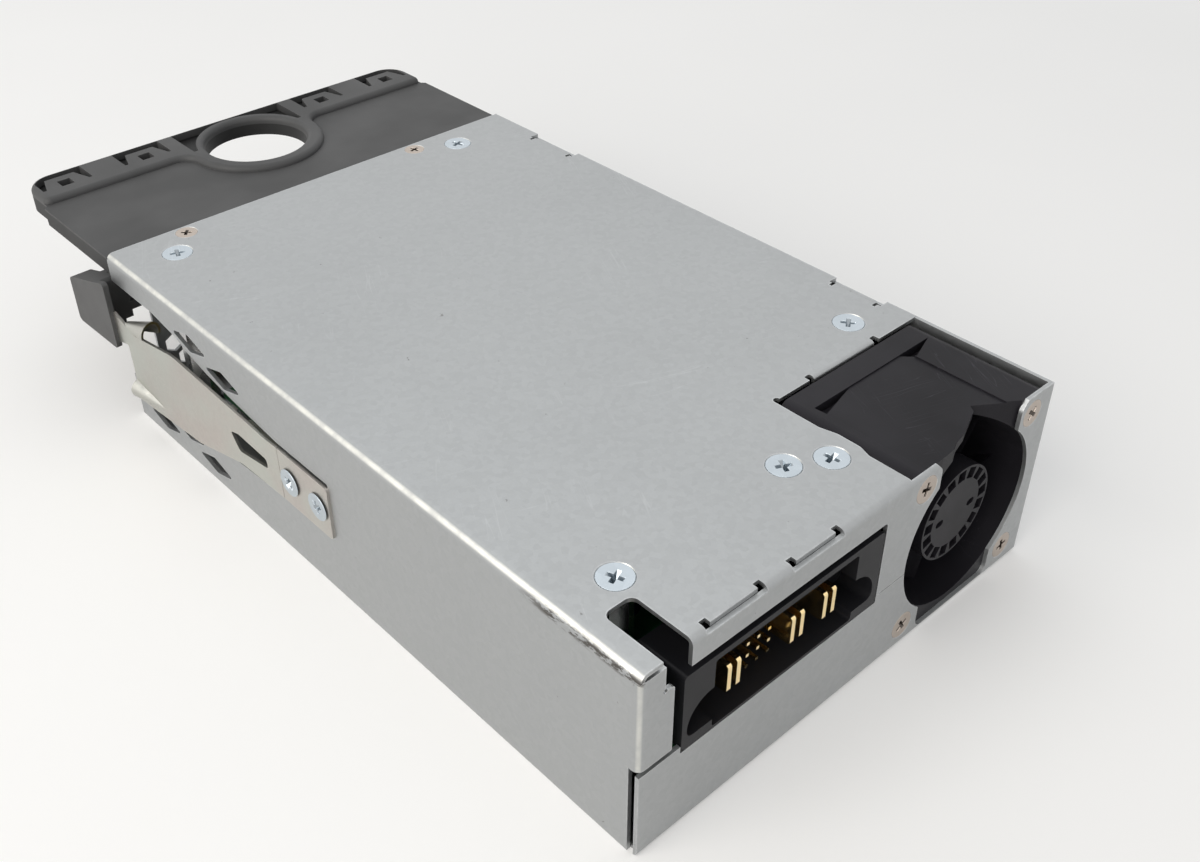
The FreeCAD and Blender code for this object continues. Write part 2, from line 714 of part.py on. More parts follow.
def hex_holes(x0, x1, y0, y1):
    """Close-packed hexagonal holes between two x limits of the outer panel."""
    holes = []
    row_step = hex_pitch * math.cos(math.pi / 6)
    rows = int((mesh_high - mesh_low - hex_flats) / row_step) + 1
    for row in range(rows):
        z = mesh_low + hex_flats / 2 + row * row_step
        shift = hex_pitch / 2 if row % 2 else 0.0
        columns = int((x1 - x0 - hex_flats - shift) / hex_pitch) + 1
        for column in range(columns):
            x = x0 + hex_flats / 2 + shift + column * hex_pitch
            holes.append(polygon_rod(x, y0, z, hex_flats, y1 - y0, 6, "y"))
    return holes


def make_rear_panel():
    x0, x1 = left + sheet + seam_gap, wall_in - seam_gap
    xi, half_w, half_h = left + inlet_x, inlet_width / 2, inlet_height / 2
    face = box(x0, x1, rear - sheet, rear, sheet, panel_top)
    foot = box(left + panel_left_relief, x1, rear - panel_flange, rear, sheet, 2 * sheet)
    side = box(x1 - sheet, x1, rear - panel_flange, rear, sheet, panel_top)
    y0, y1 = rear - sheet - 1, rear + 1
    tools = [
        box(x0 - 1, left + panel_left_relief, y0, y1, notch_low_end, panel_top + 1),
        box(xi - half_w, xi + half_w, y0, y1, inlet_z - half_h, inlet_z + half_h),
        rod(left + led_x, y0, led_z, led_radius, sheet + 2, Y_AXIS),
    ]
    tools += post_clearances(sheet - 1, 2 * sheet + 1)
    keep = led_radius + led_keep + hex_flats / 2
    for start, end in mesh_fields:
        for hole in hex_holes(left + start, left + end, y0, y1):
            centre = hole.BoundBox.Center
            if math.hypot(centre.x - left - led_x, centre.z - led_z) > keep:
                tools.append(hole)
    return cut(fuse([face, foot, side]), tools)


# ---- latch ---------------------------------------------------------------------------------------
def leaned(shape):
    """From the leaf's own flat position, on the wall, to its rest slope."""
    copy = shape.copy()
    copy.rotate(V(left - leaf / 2, rear + leaf_hinge, 0), Z_AXIS, leaf_slope)
    return copy


def leaf_holes():
    return [rod(left - leaf - 1, rear + y, leaf_middle, latch_shank, leaf + 2, X_AXIS)
            for y in latch_screw_ys]


def make_latch_root():
    low, high = leaf_middle - leaf_root_half, leaf_middle + leaf_root_half
    start, end = rear + leaf_root, rear + leaf_hinge - leaf_slit / 2
    outline = [(start, low, 0.8), (end, low), (end, high), (start, high, 0.8)]
    return cut(plate("yz", outline, left - leaf, left), leaf_holes())


def catch_window():
    return plate("yz", [
        (rear + catch_front, catch_front_low, 0.7),
        (rear + catch_rear - 2.5, catch_low, 1.2),
        (rear + catch_rear, catch_high - 0.8, 0.5),
        (rear + catch_rear - 3.0, catch_high, 1.0),
        (rear + catch_front, catch_front_high, 0.9),
    ], left - leaf - 1, left + 1)


def rolled_ear():
    """The shoulder's upper corner, rolled inwards: a cone shell with one side in the leaf."""
    outer = Part.makeCone(ear_radius, ear_tip, ear_length, V(0, 0, 0), Y_AXIS)
    inner = Part.makeCone(ear_radius - leaf, ear_tip - leaf, ear_length, V(0, 0, 0), Y_AXIS)
    shell = outer.cut(inner)
    shell.rotate(V(-ear_radius, 0, 0), Z_AXIS, math.degrees(math.atan2(ear_radius - ear_tip, ear_length)))
    shell.translate(V(left - leaf + ear_radius, rear + leaf_shoulder - ear_length - 0.3, ear_z))
    reach = 3 * ear_radius
    return shell.common(box(left - leaf - 1, left + reach, rear + leaf_shoulder - 2 * ear_length,
                            rear + leaf_shoulder, ear_z - ear_foot, ear_z + reach))


def dished_heel():
    """The cone that stands outwards at the shoulder's lower corner, and the hollow behind it."""
    start = V(left, rear + leaf_shoulder - heel_length, heel_z)
    outer = Part.makeCone(heel_tip, heel_radius, heel_length, start, Y_AXIS)
    outer = outer.common(box(left - 2 * heel_radius, left, start.y - 1, rear, 0, body_height))
    rise = heel_length * leaf / (heel_radius - heel_tip)
    inner = Part.makeCone(0.1, heel_radius - leaf, heel_length - rise + 0.1, start + V(0, rise, 0), Y_AXIS)
    return outer, inner


def make_latch_arm():
    low, high = leaf_middle - leaf_root_half, leaf_middle + leaf_root_half
    start = rear + leaf_hinge + leaf_slit / 2
    tongue_foot = tab_low + 1.0
    outline = [
        (start, low),
        (rear + leaf_low_start, low, 12.0),
        (rear + leaf_low_end, leaf_belly, 10.0),
        (rear + leaf_shoulder, leaf_heel),
        (rear + leaf_shoulder, tongue_low, 0.5),
        (rear + tab_front + 1.5, tongue_foot),
        (rear + leaf_tip, tongue_foot),
        (rear + leaf_tip, tongue_high - 1.5),
        (rear + tab_front, tongue_high, 1.0),
        (rear + leaf_shoulder - 4.0, leaf_nape, 1.5),
        (rear + leaf_high_end + 4, leaf_crown, 14.0),
        (rear + leaf_high_start, high, 12.0),
        (start, high),
    ]
    blade = plate("yz", outline, left - leaf, left)
    heel, hollow = dished_heel()
    return leaned(cut(fuse([blade, heel, rolled_ear()]), [hollow, catch_window()]))


def make_latch_tab():
    outer = plate("yz", [
        (rear + tab_front, tab_low, 0.8),
        (rear + tab_rear, tab_low, 1.2),
        (rear + tab_rear, tab_rear_top, 1.2),
        (rear + tab_front, tab_front_top, 0.8),
    ], left - leaf - tab_outside, left - leaf / 2)
    fall = (tab_front_top - tab_rear_top) / (tab_rear - tab_front)
    step_top = tab_front_top - fall * (tab_step - tab_front)
    inner = plate("yz", [
        (rear + tab_step, tab_low, 0.8),
        (rear + tab_rear, tab_low, 1.2),
        (rear + tab_rear, tab_rear_top, 1.2),
        (rear + tab_step, step_top, 0.8),
    ], left - leaf, left + tab_inside)
    y0, y1 = rear + tab_step, rear + tab_step + tab_block_length
    ribs = [box(left, left + reach, y0, y1, low, high) for low, high, reach in (tab_block,) + tab_teeth]
    ribs[0] = ribs[0].common(plate("yz", [
        (y0, tab_low), (rear + tab_rear, tab_low), (rear + tab_rear, tab_rear_top), (y0, step_top),
    ], left - 1, left + 2 * tab_block[2]))
    return leaned(fuse([outer, inner] + ribs)).cut(make_latch_arm())


def make_latch_nut_plate():
    y0, y1 = rear + latch_screw_ys[0] - nut_plate_margin, rear + latch_screw_ys[1] + nut_plate_margin
    z0, z1 = leaf_middle - nut_plate_margin, leaf_middle + nut_plate_margin
    block = plate("yz", rectangle(y0, y1, z0, z1, 1.0), left + sheet, left + sheet + nut_plate)
    holes = [rod(left, rear + y, leaf_middle, latch_shank, sheet + nut_plate + 1, X_AXIS)
             for y in latch_screw_ys]
    return cut(block, holes)


# ---- handle --------------------------------------------------------------------------------------
def handle_outline(inset):
    """The raised strip's outline, drawn in from its edges."""
    x0, x1 = left + handle_shoulder + inset, right - handle_shoulder - inset
    y0, y1 = rear + handle_reach - handle_strip + inset, rear + handle_reach - inset
    round_ = handle_corner - inset
    return [(x0, y0, 1.6), (x1, y0, 1.6), (x1, y1, round_), (x0, y1, round_)]


def raised_part():
    """The strip and the finger ring as one raised form with rounded edges."""
    top, outer = deck, rear + handle_reach
    ring_y = outer - ring_from_edge
    low, high = top - 0.5, top + handle_raise
    strip = plate("xy", handle_outline(0.0), low, high)
    disc = rod(0, ring_y, low, ring_outer, high - low)
    disc = disc.common(box(-ring_outer - 1, ring_outer + 1, rear, outer - handle_roll, low, high))
    form = fuse([strip, disc])
    inner_corners = [e for e in form.Edges if e.BoundBox.ZLength > high - low - 1e-6
                     and abs(e.BoundBox.YMin - (outer - handle_strip)) < 1e-6
                     and abs(e.BoundBox.XMin) < ring_outer]
    form = form.makeFillet(ring_blend, inner_corners)
    form = form.cut(rod(0, ring_y, low - 1, ring_bore, high - low + 2))
    return form.makeFillet(handle_roll, [e for e in form.Edges if e.BoundBox.ZMin > high - 1e-6])


def grip_pockets():
    """The pockets in the raised strip: one round the ring, and U shapes with a square hole each."""
    outer = rear + handle_reach
    ring_y = outer - ring_from_edge
    floor, high = deck + handle_raise - grip_pocket_depth, deck + handle_raise + 1
    y_out, y_in = outer - rim_width, outer - grip_pocket_reach
    half, wide, narrow = grip_pocket_half, grip_leg_wide, grip_leg_narrow
    y_base = y_out - grip_pocket_base
    pockets = [box(-ring_pocket_half, ring_pocket_half, outer - handle_strip, y_out, floor, high).cut(
        rod(0, ring_y, floor - 1, ring_back, high - floor + 2))]
    inside = plate("xy", handle_outline(rim_width), floor, high)
    holes = []
    for cx in [side * offset for offset in grip_pocket_offsets for side in (-1, 1)]:
        u_shape = plate("xy", [
            (cx - half, y_out + 1),
            (cx - half, y_in),
            (cx - half + narrow, y_in),
            (cx - half + wide, y_base),
            (cx + half - wide, y_base),
            (cx + half - narrow, y_in),
            (cx + half, y_in),
            (cx + half, y_out + 1),
        ], floor, high)
        pockets.append(u_shape.common(inside))
        holes.append(box(cx - grip_hole / 2, cx + grip_hole / 2, y_in - 0.2, y_in - 0.2 + grip_hole, floor,
                         high))
    return pockets + holes


def make_handle():
    top, bottom = deck, deck - handle_thick
    outer, strip_y = rear + handle_reach, rear + handle_reach - handle_strip
    ring_y = outer - ring_from_edge
    x0, x1 = left + handle_shoulder, right - handle_shoulder
    slab = plate("xy", [
        (left, rear), (right, rear), (right, strip_y - 1), (x1, strip_y),
        (x1, outer, handle_corner), (x0, outer, handle_corner), (x0, strip_y), (left, strip_y - 1),
    ], bottom, top)
    lugs = [box(left + x - lug_half, left + x + lug_half, rear - lug_depth, rear + 1, bottom, top)
            for x, _ in handle_screw_places]
    body = fuse([slab, raised_part()] + lugs)
    tools = [rod(0, ring_y, bottom - 1, ring_bore, handle_thick + 1.5),
             rod(0, ring_y, bottom - 1, ring_back, 1 + ring_relief)]
    # underside pockets between ribs, clear of the ring
    pocket_rows = ((rear + handle_rib, strip_y - handle_rib),
                   (strip_y, outer - handle_rib - handle_corner / 2))
    step = (body_width - handle_rib) / handle_pockets
    keep_clear = rod(0, ring_y, bottom - 2, ring_outer + handle_rib, handle_thick + 4)
    for y0, y1 in pocket_rows:
        for i in range(handle_pockets):
            px = left + handle_rib + i * step
            pocket = box(px, px + step - handle_rib, y0, y1, bottom - 1, top - handle_skin)
            tools.append(pocket.cut(keep_clear))
    return cut(body, tools + grip_pockets() + handle_screw_seats())


# ---- fan -----------------------------------------------------------------------------------------
def make_fan_frame():
    half = fan_size / 2
    x0, x1, z0, top = fan_x - half, fan_x + half, fan_z - half, fan_z + half
    body = plate("xz", rectangle(x0, x1, z0, top, 2.4), fan_front, fan_back)
    y0, y1 = fan_front + fan_front_flange, fan_back - fan_rear_flange
    # the sides and the bottom step in between the flanges
    waist = box(x0 - 1, x1 + 1, y0, y1, z0 - 1, top - 3.0).cut(
        box(x0 + fan_waist, x1 - fan_waist, y0, y1, z0 + fan_waist, top))
    motor_front = fan_back - motor_plate
    tools = [
        waist,
        rod(fan_x, fan_front - 1, fan_z, fan_bore, fan_depth + 2, Y_AXIS),
        box(fan_x + fan_panel[0], fan_x + fan_panel[1], fan_front - 1, y1, top - fan_panel_depth, top + 1),
    ]
    # pockets in the top ahead of the rear flange, and the shell's scalloped front edge
    for pocket in (((-16.4, 0), (-16.2, -2.5), (-6.4, 0)), ((8.4, 0), (10.7, -2.3), (17.4, 0))):
        tools.append(plate("xy", [(fan_x + x, y1 + y) for x, y in pocket], top - fan_pocket_depth, top + 1))
    tools.append(plate("xy", [(fan_x + x, fan_front + y) for x, y in fan_scallop], top - 7.0, top + 1))
    # four struts carry the motor plate and the bearing tube
    strut = box(fan_x - strut_width / 2, fan_x + strut_width / 2, motor_front, fan_back,
                fan_z + hub_radius - 1, fan_z + fan_bore + 0.5)
    parts = []
    for i in range(4):
        parts.append(strut.copy())
        parts[-1].rotate(V(fan_x, 0, fan_z), Y_AXIS, 45 + 90 * i)
    parts.append(rod(fan_x, motor_front, fan_z, hub_radius, motor_plate, Y_AXIS))
    tube_front = hub_front + tube_setback
    tube_radius = bearing_radius + tube_wall
    parts.append(rod(fan_x, tube_front, fan_z, tube_radius, fan_back - tube_front - 1, Y_AXIS))
    body = fuse([cut(body, tools)] + parts)
    bores = [rod(fan_x, tube_front - 1, fan_z, bearing_radius, motor_front - tube_front + 1.5, Y_AXIS)]
    for x, z in fan_screw_places():
        bores.append(rod(x, fan_front - 1, z, fan_screw_shank / 2, fan_screw_length + 1, Y_AXIS))
        bores.append(rod(x, y1 - 0.5, z, fan_mount_bore, fan_rear_flange + 1, Y_AXIS))
    return cut(body, bores + fan_screw_seats())


def fan_ring(outer, inner, y0, y1):
    return rod(fan_x, y0, fan_z, outer, y1 - y0, Y_AXIS).cut(
        rod(fan_x, y0 - 1, fan_z, inner, y1 - y0 + 2, Y_AXIS))


def fan_blade():
    """One blade: a cambered section lofted and twisted from the hub to the tip."""
    sections = []
    tip = fan_bore - blade_tip_gap
    for radius, (chord, pitch) in zip((hub_radius - 0.6, tip), blade_sections):
        lean = math.radians(pitch)
        along = V(math.cos(lean), math.sin(lean), 0)
        across = V(-math.sin(lean), math.cos(lean), 0)
        nose, tail = along * (-chord / 2), along * (chord / 2)
        back, belly = across * blade_back, across * blade_belly
        upper = Part.Arc(nose, back, tail).toShape()
        lower = Part.Arc(tail, belly, nose).toShape()
        wire = Part.Wire([upper, lower])
        wire.translate(V(0, 0, radius))
        sections.append(wire)
    blade = Part.makeLoft(sections, True, True)
    return blade.common(rod(0, -fan_depth, 0, tip, 2 * fan_depth, Y_AXIS))


def make_fan_rotor():
    y0 = hub_front
    cup = fan_ring(hub_radius, hub_radius - hub_wall, y0, y0 + hub_length)
    lid = rod(fan_x, y0, fan_z, hub_radius, hub_lid, Y_AXIS)
    boss = rod(fan_x, y0, fan_z, shaft_radius + 1.0, hub_lid + 1.0, Y_AXIS)
    blades = []
    for i in range(blade_count):
        blade = moved(fan_blade(), fan_x, y0 + hub_length * blade_place, fan_z)
        blade.rotate(V(fan_x, 0, fan_z), Y_AXIS, 360.0 * i / blade_count)
        blades.append(blade)
    rotor = fuse([cup, lid, boss] + blades)
    tools = []
    window = box(fan_x - 1.1, fan_x + 1.1, y0 - 1, y0 + 1.0, fan_z + 7.2, fan_z + 9.5)
    for i in range(hub_windows):
        tools.append(window.copy())
        tools[-1].rotate(V(fan_x, 0, fan_z), Y_AXIS, 360.0 * i / hub_windows)
    for side in (-1, 1):
        oval = rectangle(fan_x + side * 4.8 - 1.1, fan_x + side * 4.8 + 1.1, fan_z - 0.7, fan_z + 0.7, 0.65)
        tools.append(plate("xz", oval, y0 - 1, y0 + 0.6))
    tools.append(rod(fan_x, y0 + shaft_setback, fan_z, shaft_radius, 5, Y_AXIS))
    tools.append(fan_ring(hub_radius - hub_wall, shaft_radius + 1.0, y0 + hub_lid, y0 + hub_length + 1))
    return cut(rotor, tools)


def make_fan_magnet():
    outer = hub_radius - hub_wall
    y0 = hub_front + hub_lid + 0.6
    return fan_ring(outer, outer - magnet_wall, y0, hub_front + hub_length - 1.0)


def make_fan_shaft():
    y0 = hub_front + shaft_setback
    return rod(fan_x, y0, fan_z, shaft_radius, fan_back - motor_plate - 0.5 - y0, Y_AXIS)


def make_fan_bearings():
    inner = shaft_radius + shaft_clearance
    tube_front = hub_front + tube_setback
    back = fan_back - motor_plate - 0.6
    return group([fan_ring(bearing_radius, inner, tube_front, tube_front + bearing_length),
                  fan_ring(bearing_radius, inner, back - bearing_length, back)])


def make_fan_stator():
    """Laminated four-pole core on the bearing tube, with its coils as separate solids."""
    y0, y1 = hub_front + stator_setback, fan_back - motor_plate - stator_back
    inner = bearing_radius + tube_wall
    outer = hub_radius - hub_wall - magnet_wall - magnet_gap
    core = fan_ring(inner + 1.0, inner, y0, y1)
    arm = box(fan_x - 1.0, fan_x + 1.0, y0, y1, fan_z + inner + 0.4, fan_z + outer - 0.5)
    shoe = fan_ring(outer, outer - 1.2, y0, y1).common(
        box(fan_x - 3.6, fan_x + 3.6, y0, y1, fan_z, fan_z + outer + 1))
    parts = [core]
    for i in range(4):
        for piece in (arm, shoe):
            copy = piece.copy()
            copy.rotate(V(fan_x, 0, fan_z), Y_AXIS, 90.0 * i)
            parts.append(copy)
    return fuse(parts)


def make_fan_coils():
    y0, y1 = hub_front + stator_setback - coil_reach, fan_back - motor_plate - stator_back + coil_reach
    inner = bearing_radius + tube_wall + 1.0
    outer = hub_radius - hub_wall - magnet_wall - magnet_gap - 1.2
    coil = box(fan_x - 1.9, fan_x + 1.9, y0, y1, fan_z + inner + 0.05, fan_z + outer - 0.15)
    coils = []
    core = make_fan_stator()
    for i in range(4):
        copy = coil.copy()
        copy.rotate(V(fan_x, 0, fan_z), Y_AXIS, 90.0 * i)
        coils.append(copy.cut(core))
    return group(coils)


# ---- output connector ----------------------------------------------------------------------------
def make_connector_housing():
    x0, x1 = left + conn_left, left + conn_right
    y1 = conn_front + conn_depth
    shell = box(x0, x1, conn_front, y1, conn_low, conn_high)
    shell = shell.makeFillet(conn_round, [e for e in shell.Edges if e.BoundBox.YLength > conn_depth - 1])
    floor = y1 - conn_floor
    main = plate("xz", rectangle(x0 + cavity_left, x1 - cavity_right, conn_low + conn_foot,
                                 conn_high - conn_wall, cavity_round), conn_front - 1, floor)
    xa, xb, za, zb = x0 + lobe_left, x1 - lobe_right, conn_low + lobe_low, conn_low + lobe_high
    lobes = plate("xz", [
        (xa, za, lobe_foot_round),
        (xb, za, lobe_foot_round),
        (xb, zb, lobe_round),
        (xa, zb, lobe_round),
    ], conn_front - 1, floor - lobe_floor)
    tools = [main, lobes]
    for x in blade_xs:
        tools.append(box(x0 + x - blade_thick / 2, x0 + x + blade_thick / 2, floor - 1, y1 + 1,
                         conn_low + blade_low, conn_low + blade_high))
    for x in pin_columns:
        for z in pin_rows:
            tools.append(box(x0 + x - pin_size / 2, x0 + x + pin_size / 2, floor - 1, y1 + 1,
                             conn_low + z - pin_size / 2, conn_low + z + pin_size / 2))
    return cut(shell, tools)


def make_power_blades():
    y0, y1 = conn_front + blade_recess, conn_front + conn_depth + blade_tail
    low, high = conn_low + blade_low, conn_low + blade_high
    blades = []
    for x in blade_xs:
        xa = left + conn_left + x - blade_thick / 2
        blade = plate("yz", [(y0, low, blade_nose), (y1, low), (y1, high), (y0, high, blade_nose)],
                      xa, xa + blade_thick)
        leg = box(xa, xa + blade_thick, y1 - blade_tail + 0.3, y1, conn_low, low + 1)
        blades.append(fuse([blade, leg]))
    return group(blades)


def make_signal_pins():
    y0, y1 = conn_front + pin_recess, conn_front + conn_depth
    half = pin_size / 2
    pins = []
    for i, row in enumerate(pin_rows):
        y_leg, z = y1 + 0.6 + i * pin_step, conn_low + row
        for column in pin_columns:
            x = left + conn_left + column
            run = box(x - half, x + half, y0, y_leg + pin_size, z - half, z + half)
            leg = box(x - half, x + half, y_leg, y_leg + pin_size, conn_low, z + half)
            pins.append(fuse([run, leg]))
    return group(pins)


# ---- boards and the power stage --------------------------------------------------------------------
def board_holes(places, low, high):
    return [rod(left + x, front + y, low, board_screw_shank, high - low) for x, y in places]


def make_connector_board():
    z = conn_board_low
    slab = plate("xy", rectangle(left + conn_board_left, left + conn_board_right, front + conn_board_front,
                                 front + conn_board_back, 1.0), z, z + board)
    clear = post_clearances(z - 1, z + board + 1)
    return cut(slab, clear + board_holes(conn_board_mounts, z - 1, z + board + 1))


def make_main_board():
    z = main_board_low
    slab = box(left + main_board_left, left + main_board_right, front + main_board_front,
               front + main_board_back, z, z + board)
    clear = post_clearances(z - 1, z + board + 1)
    return cut(slab, clear + board_holes(main_board_mounts, z - 1, z + board + 1))


def make_insulating_sheet():
    slab = box(left + main_board_left - insulator_margin, left + main_board_right,
               front + main_board_front, front + main_board_back, sheet, sheet + insulator)
    holes = [rod(left + x, front + y, 0, standoff_flats * 0.75, 5)
             for x, y in main_board_mounts + conn_board_mounts]
    return cut(slab, holes + post_clearances(0, 5))


def make_board_standoffs():
    pillars = []
    for places, top in ((main_board_mounts, main_board_low), (conn_board_mounts, conn_board_low)):
        for x, y in places:
            pillar = polygon_rod(left + x, front + y, sheet, standoff_flats, top - sheet)
            bore = rod(left + x, front + y, top - board_screw_length - 0.2, board_screw_shank, 3)
            pillars.append(pillar.cut(bore))
    return group(pillars)


def make_board_screws():
    screw = pan_screw(board_screw_head, board_screw_height, board_screw_shank, board + board_screw_length)
    screw = screw.cut(moved(cross_recess(0.9, 1.3), 0, 0, board_screw_height))
    places = [(x, y, main_board_low + board) for x, y in main_board_mounts]
    places += [(x, y, conn_board_low + board) for x, y in conn_board_mounts]
    return group([moved(screw, left + x, front + y, z) for x, y, z in places])


board_top = main_board_low + board


def make_bus_bars():
    bars = []
    for x in bus_bar_xs:
        bar = box(left + x - bus_bar_width / 2, left + x + bus_bar_width / 2, front + bus_bar_y,
                  front + bus_bar_y + bus_bar_thick, board_top, conn_board_low)
        bars.append(bar)
    return group(bars)


def make_bulk_capacitors():
    outline = can_outline(bulk_radius, bulk_length, 5.0, 1.2)
    return group([lathe(outline, left + bulk_x, front + y, board_top + bulk_radius, Y_AXIS)
                  for y in bulk_ys])


def make_transformer_core():
    x0, y0 = left + core_x - core_width / 2, front + core_y - core_depth / 2
    z0 = board_top + core_foot
    block = box(x0, x0 + core_width, y0, y0 + core_depth, z0, z0 + core_height)
    tools = []
    for xw in (x0 + core_leg, x0 + core_width - core_leg - core_window):
        tools.append(box(xw, xw + core_window, y0 - 1, y0 + core_depth + 1, z0 + core_yoke,
                         z0 + core_height - core_yoke))
    return cut(block, tools)


def make_transformer_winding():
    x0, y0, z0 = left + core_x, front + core_y, board_top + core_foot + core_yoke
    height = core_height - 2 * core_yoke
    half_leg = core_centre_leg / 2
    half_x, half_y = half_leg + core_window, core_depth / 2 + core_window
    bobbin = plate("xy", rectangle(x0 - half_x, x0 + half_x, y0 - half_y, y0 + half_y, 3.0), z0, z0 + height)
    bobbin = bobbin.cut(box(x0 - half_leg, x0 + half_leg, y0 - core_depth / 2, y0 + core_depth / 2,
                            z0 - 1, z0 + height + 1))
    feet = []
    for side in (-1, 1):
        yf = y0 + side * (half_y - 1.2)
        feet.append(box(x0 - half_x + 1, x0 + half_x - 1, yf - 1.0, yf + 1.0, board_top, z0 + 0.01))
    return fuse([bobbin] + feet)


def wound_ring(place, outer, inner, thick, turns, axis):
    """A toroid standing on the board: a core of rectangular section, and its turns as closed loops."""
    centre = V(left + place[0], front + place[1], board_top + outer + wire + choke_lift)
    rim = Part.makeCylinder(outer, thick, V(0, 0, -thick / 2)).cut(
        Part.makeCylinder(inner, thick + 2, V(0, 0, -thick / 2 - 1)))
    loop = plate("xz", rectangle(inner - wire, outer + wire, -thick / 2 - wire, thick / 2 + wire, 1.2),
                 -wire / 2, wire / 2)
    loops = []
    for i in range(turns):
        turn = loop.copy()
        turn.rotate(V(0, 0, 0), Z_AXIS, 360.0 * (i + 0.5) / turns)
        loops.append(turn)
    coil = fuse([rim] + loops)
    coil = turned(coil, X_AXIS, 90) if axis == "y" else turned(coil, Y_AXIS, 90)
    coil.translate(centre)
    half = outer * 0.55
    foot_along = plate("xy", rectangle(-half, half, -thick / 2 - wire, thick / 2 + wire, 1.0), 0, choke_foot)
    if axis == "x":
        foot_along = turned(foot_along, Z_AXIS, 90)
    foot = moved(foot_along, centre.x, centre.y, board_top)
    return fuse([coil, foot])


def make_pfc_choke():
    return wound_ring(choke_place, choke_outer, choke_inner, choke_thick, choke_turns, "y")


def make_emi_choke():
    return wound_ring(emi_place, emi_outer, emi_inner, emi_thick, emi_turns, "x")


def make_x_capacitor():
    x, y = left + xcap_place[0], front + xcap_place[1]
    w, d = xcap_width / 2, xcap_depth / 2
    block = box(x - w, x + w, y - d, y + d, board_top, board_top + xcap_height)
    return block.makeFillet(0.8, [e for e in block.Edges if e.BoundBox.ZMax > board_top + 1])


def make_output_capacitors():
    outline = can_outline(out_cap_radius, out_cap_height, 2.2, 0.5)
    return group([lathe(outline, left + x, front + out_cap_y, conn_board_low + board) for x in out_cap_xs])


def sink_profile(x, y0, y1, z0, height, side):
    """An extruded heat sink: a plate along Y with fins out to one side."""
    fins = []
    step = (height - 5.2) / (sink_fins - 1)
    xa, xb = (x - sink_fin_reach, x + 0.01)
    if side > 0:
        xa, xb = (x + sink_base - 0.01, x + sink_base + sink_fin_reach)
    for i in range(sink_fins):
        z = z0 + 4.0 + i * step
        fins.append(box(xa, xb, y0, y1, z, z + sink_fin))
    return fuse([box(x, x + sink_base, y0, y1, z0, z0 + height)] + fins)


def make_primary_heatsink():
    y0, y1 = primary_sink_ys
    return sink_profile(left + primary_sink_x, front + y0, front + y1, board_top, sink_height, -1)


def make_output_heatsink():
    y0, y1 = output_sink_ys
    return sink_profile(left + output_sink_x, front + y0, front + y1, board_top, output_sink_height, 1)


def make_power_transistors():
    x = left + primary_sink_x + sink_base
    half, low = transistor_width / 2, board_top + transistor_lift
    middle = x + transistor_thick / 2
    parts = []
    for place in transistor_ys:
        y = front + place
        body = box(x, x + transistor_thick, y - half, y + half, low, low + transistor_height)
        legs = []
        for s in (-1, 0, 1):
            leg_y = y + s * transistor_pitch
            legs.append(box(middle - 0.3, middle + 0.3, leg_y - transistor_pin / 2,
                            leg_y + transistor_pin / 2, board_top, low + 0.01))
        parts.append(fuse([body] + legs))
    return group(parts)


# ---- outer end -------------------------------------------------------------------------------------
def inlet_outline(shrink):
    half_w, half_h = inlet_width / 2 - shrink, inlet_height / 2 - shrink
    x0, x1 = left + inlet_x - half_w, left + inlet_x + half_w
    z0, z1 = inlet_z - half_h, inlet_z + half_h
    return [
        (x0, z0, 1.0), (x1, z0, 1.0), (x1, z1 - inlet_bevel, 1.0), (x1 - inlet_bevel, z1, 1.0),
        (x0 + inlet_bevel, z1, 1.0), (x0, z1 - inlet_bevel, 1.0),
    ]


def make_ac_inlet():
    x, z = left + inlet_x, inlet_z
    w, h = inlet_width / 2, inlet_height / 2
    back = rear - inlet_depth
    body = box(x - w, x + w, back, rear, z - h, z + h)
    flange = plate("xz", rectangle(x - w - inlet_flange, x + w + inlet_flange, z - h - inlet_flange,
                                   z + h + inlet_flange, 2.0), rear, rear + inlet_flange_thick)
    cavity = plate("xz", inlet_outline(inlet_wall), back + inlet_back, rear + inlet_flange_thick + 1)
    pw, ph = inlet_pin_width / 2, inlet_pin_height / 2
    holes = [box(px - pw, px + pw, back - 1, back + inlet_back + 1, pz - ph, pz + ph)
             for px, pz in inlet_pin_places()]
    return cut(fuse([body, flange]), [cavity] + holes)


def inlet_pin_places():
    x, low, high = left + inlet_x, inlet_z - 1.5, inlet_z + 2.5
    return [(x - inlet_pin_gap, low), (x, high), (x + inlet_pin_gap, low)]


def make_inlet_pins():
    y0 = rear - inlet_depth - inlet_pin_tail
    y1 = rear + inlet_flange_thick - inlet_pin_recess
    w, h = inlet_pin_width / 2, inlet_pin_height / 2
    pins = []
    for x, z in inlet_pin_places():
        pin = box(x - w, x + w, y0, y1, z - h, z + h)
        pins.append(pin.makeFillet(0.5, [e for e in pin.Edges if e.BoundBox.YMin > y1 - 0.01]))
    return group(pins)


def make_status_led():
    x = left + led_x
    lens = rod(x, rear - led_body, led_z, led_radius, led_body, Y_AXIS)
    dome = Part.makeSphere(led_radius, V(x, rear, led_z))
    collar = rod(x, rear - led_body, led_z, led_radius + led_collar, led_body - sheet, Y_AXIS)
    return fuse([lens, dome, collar])


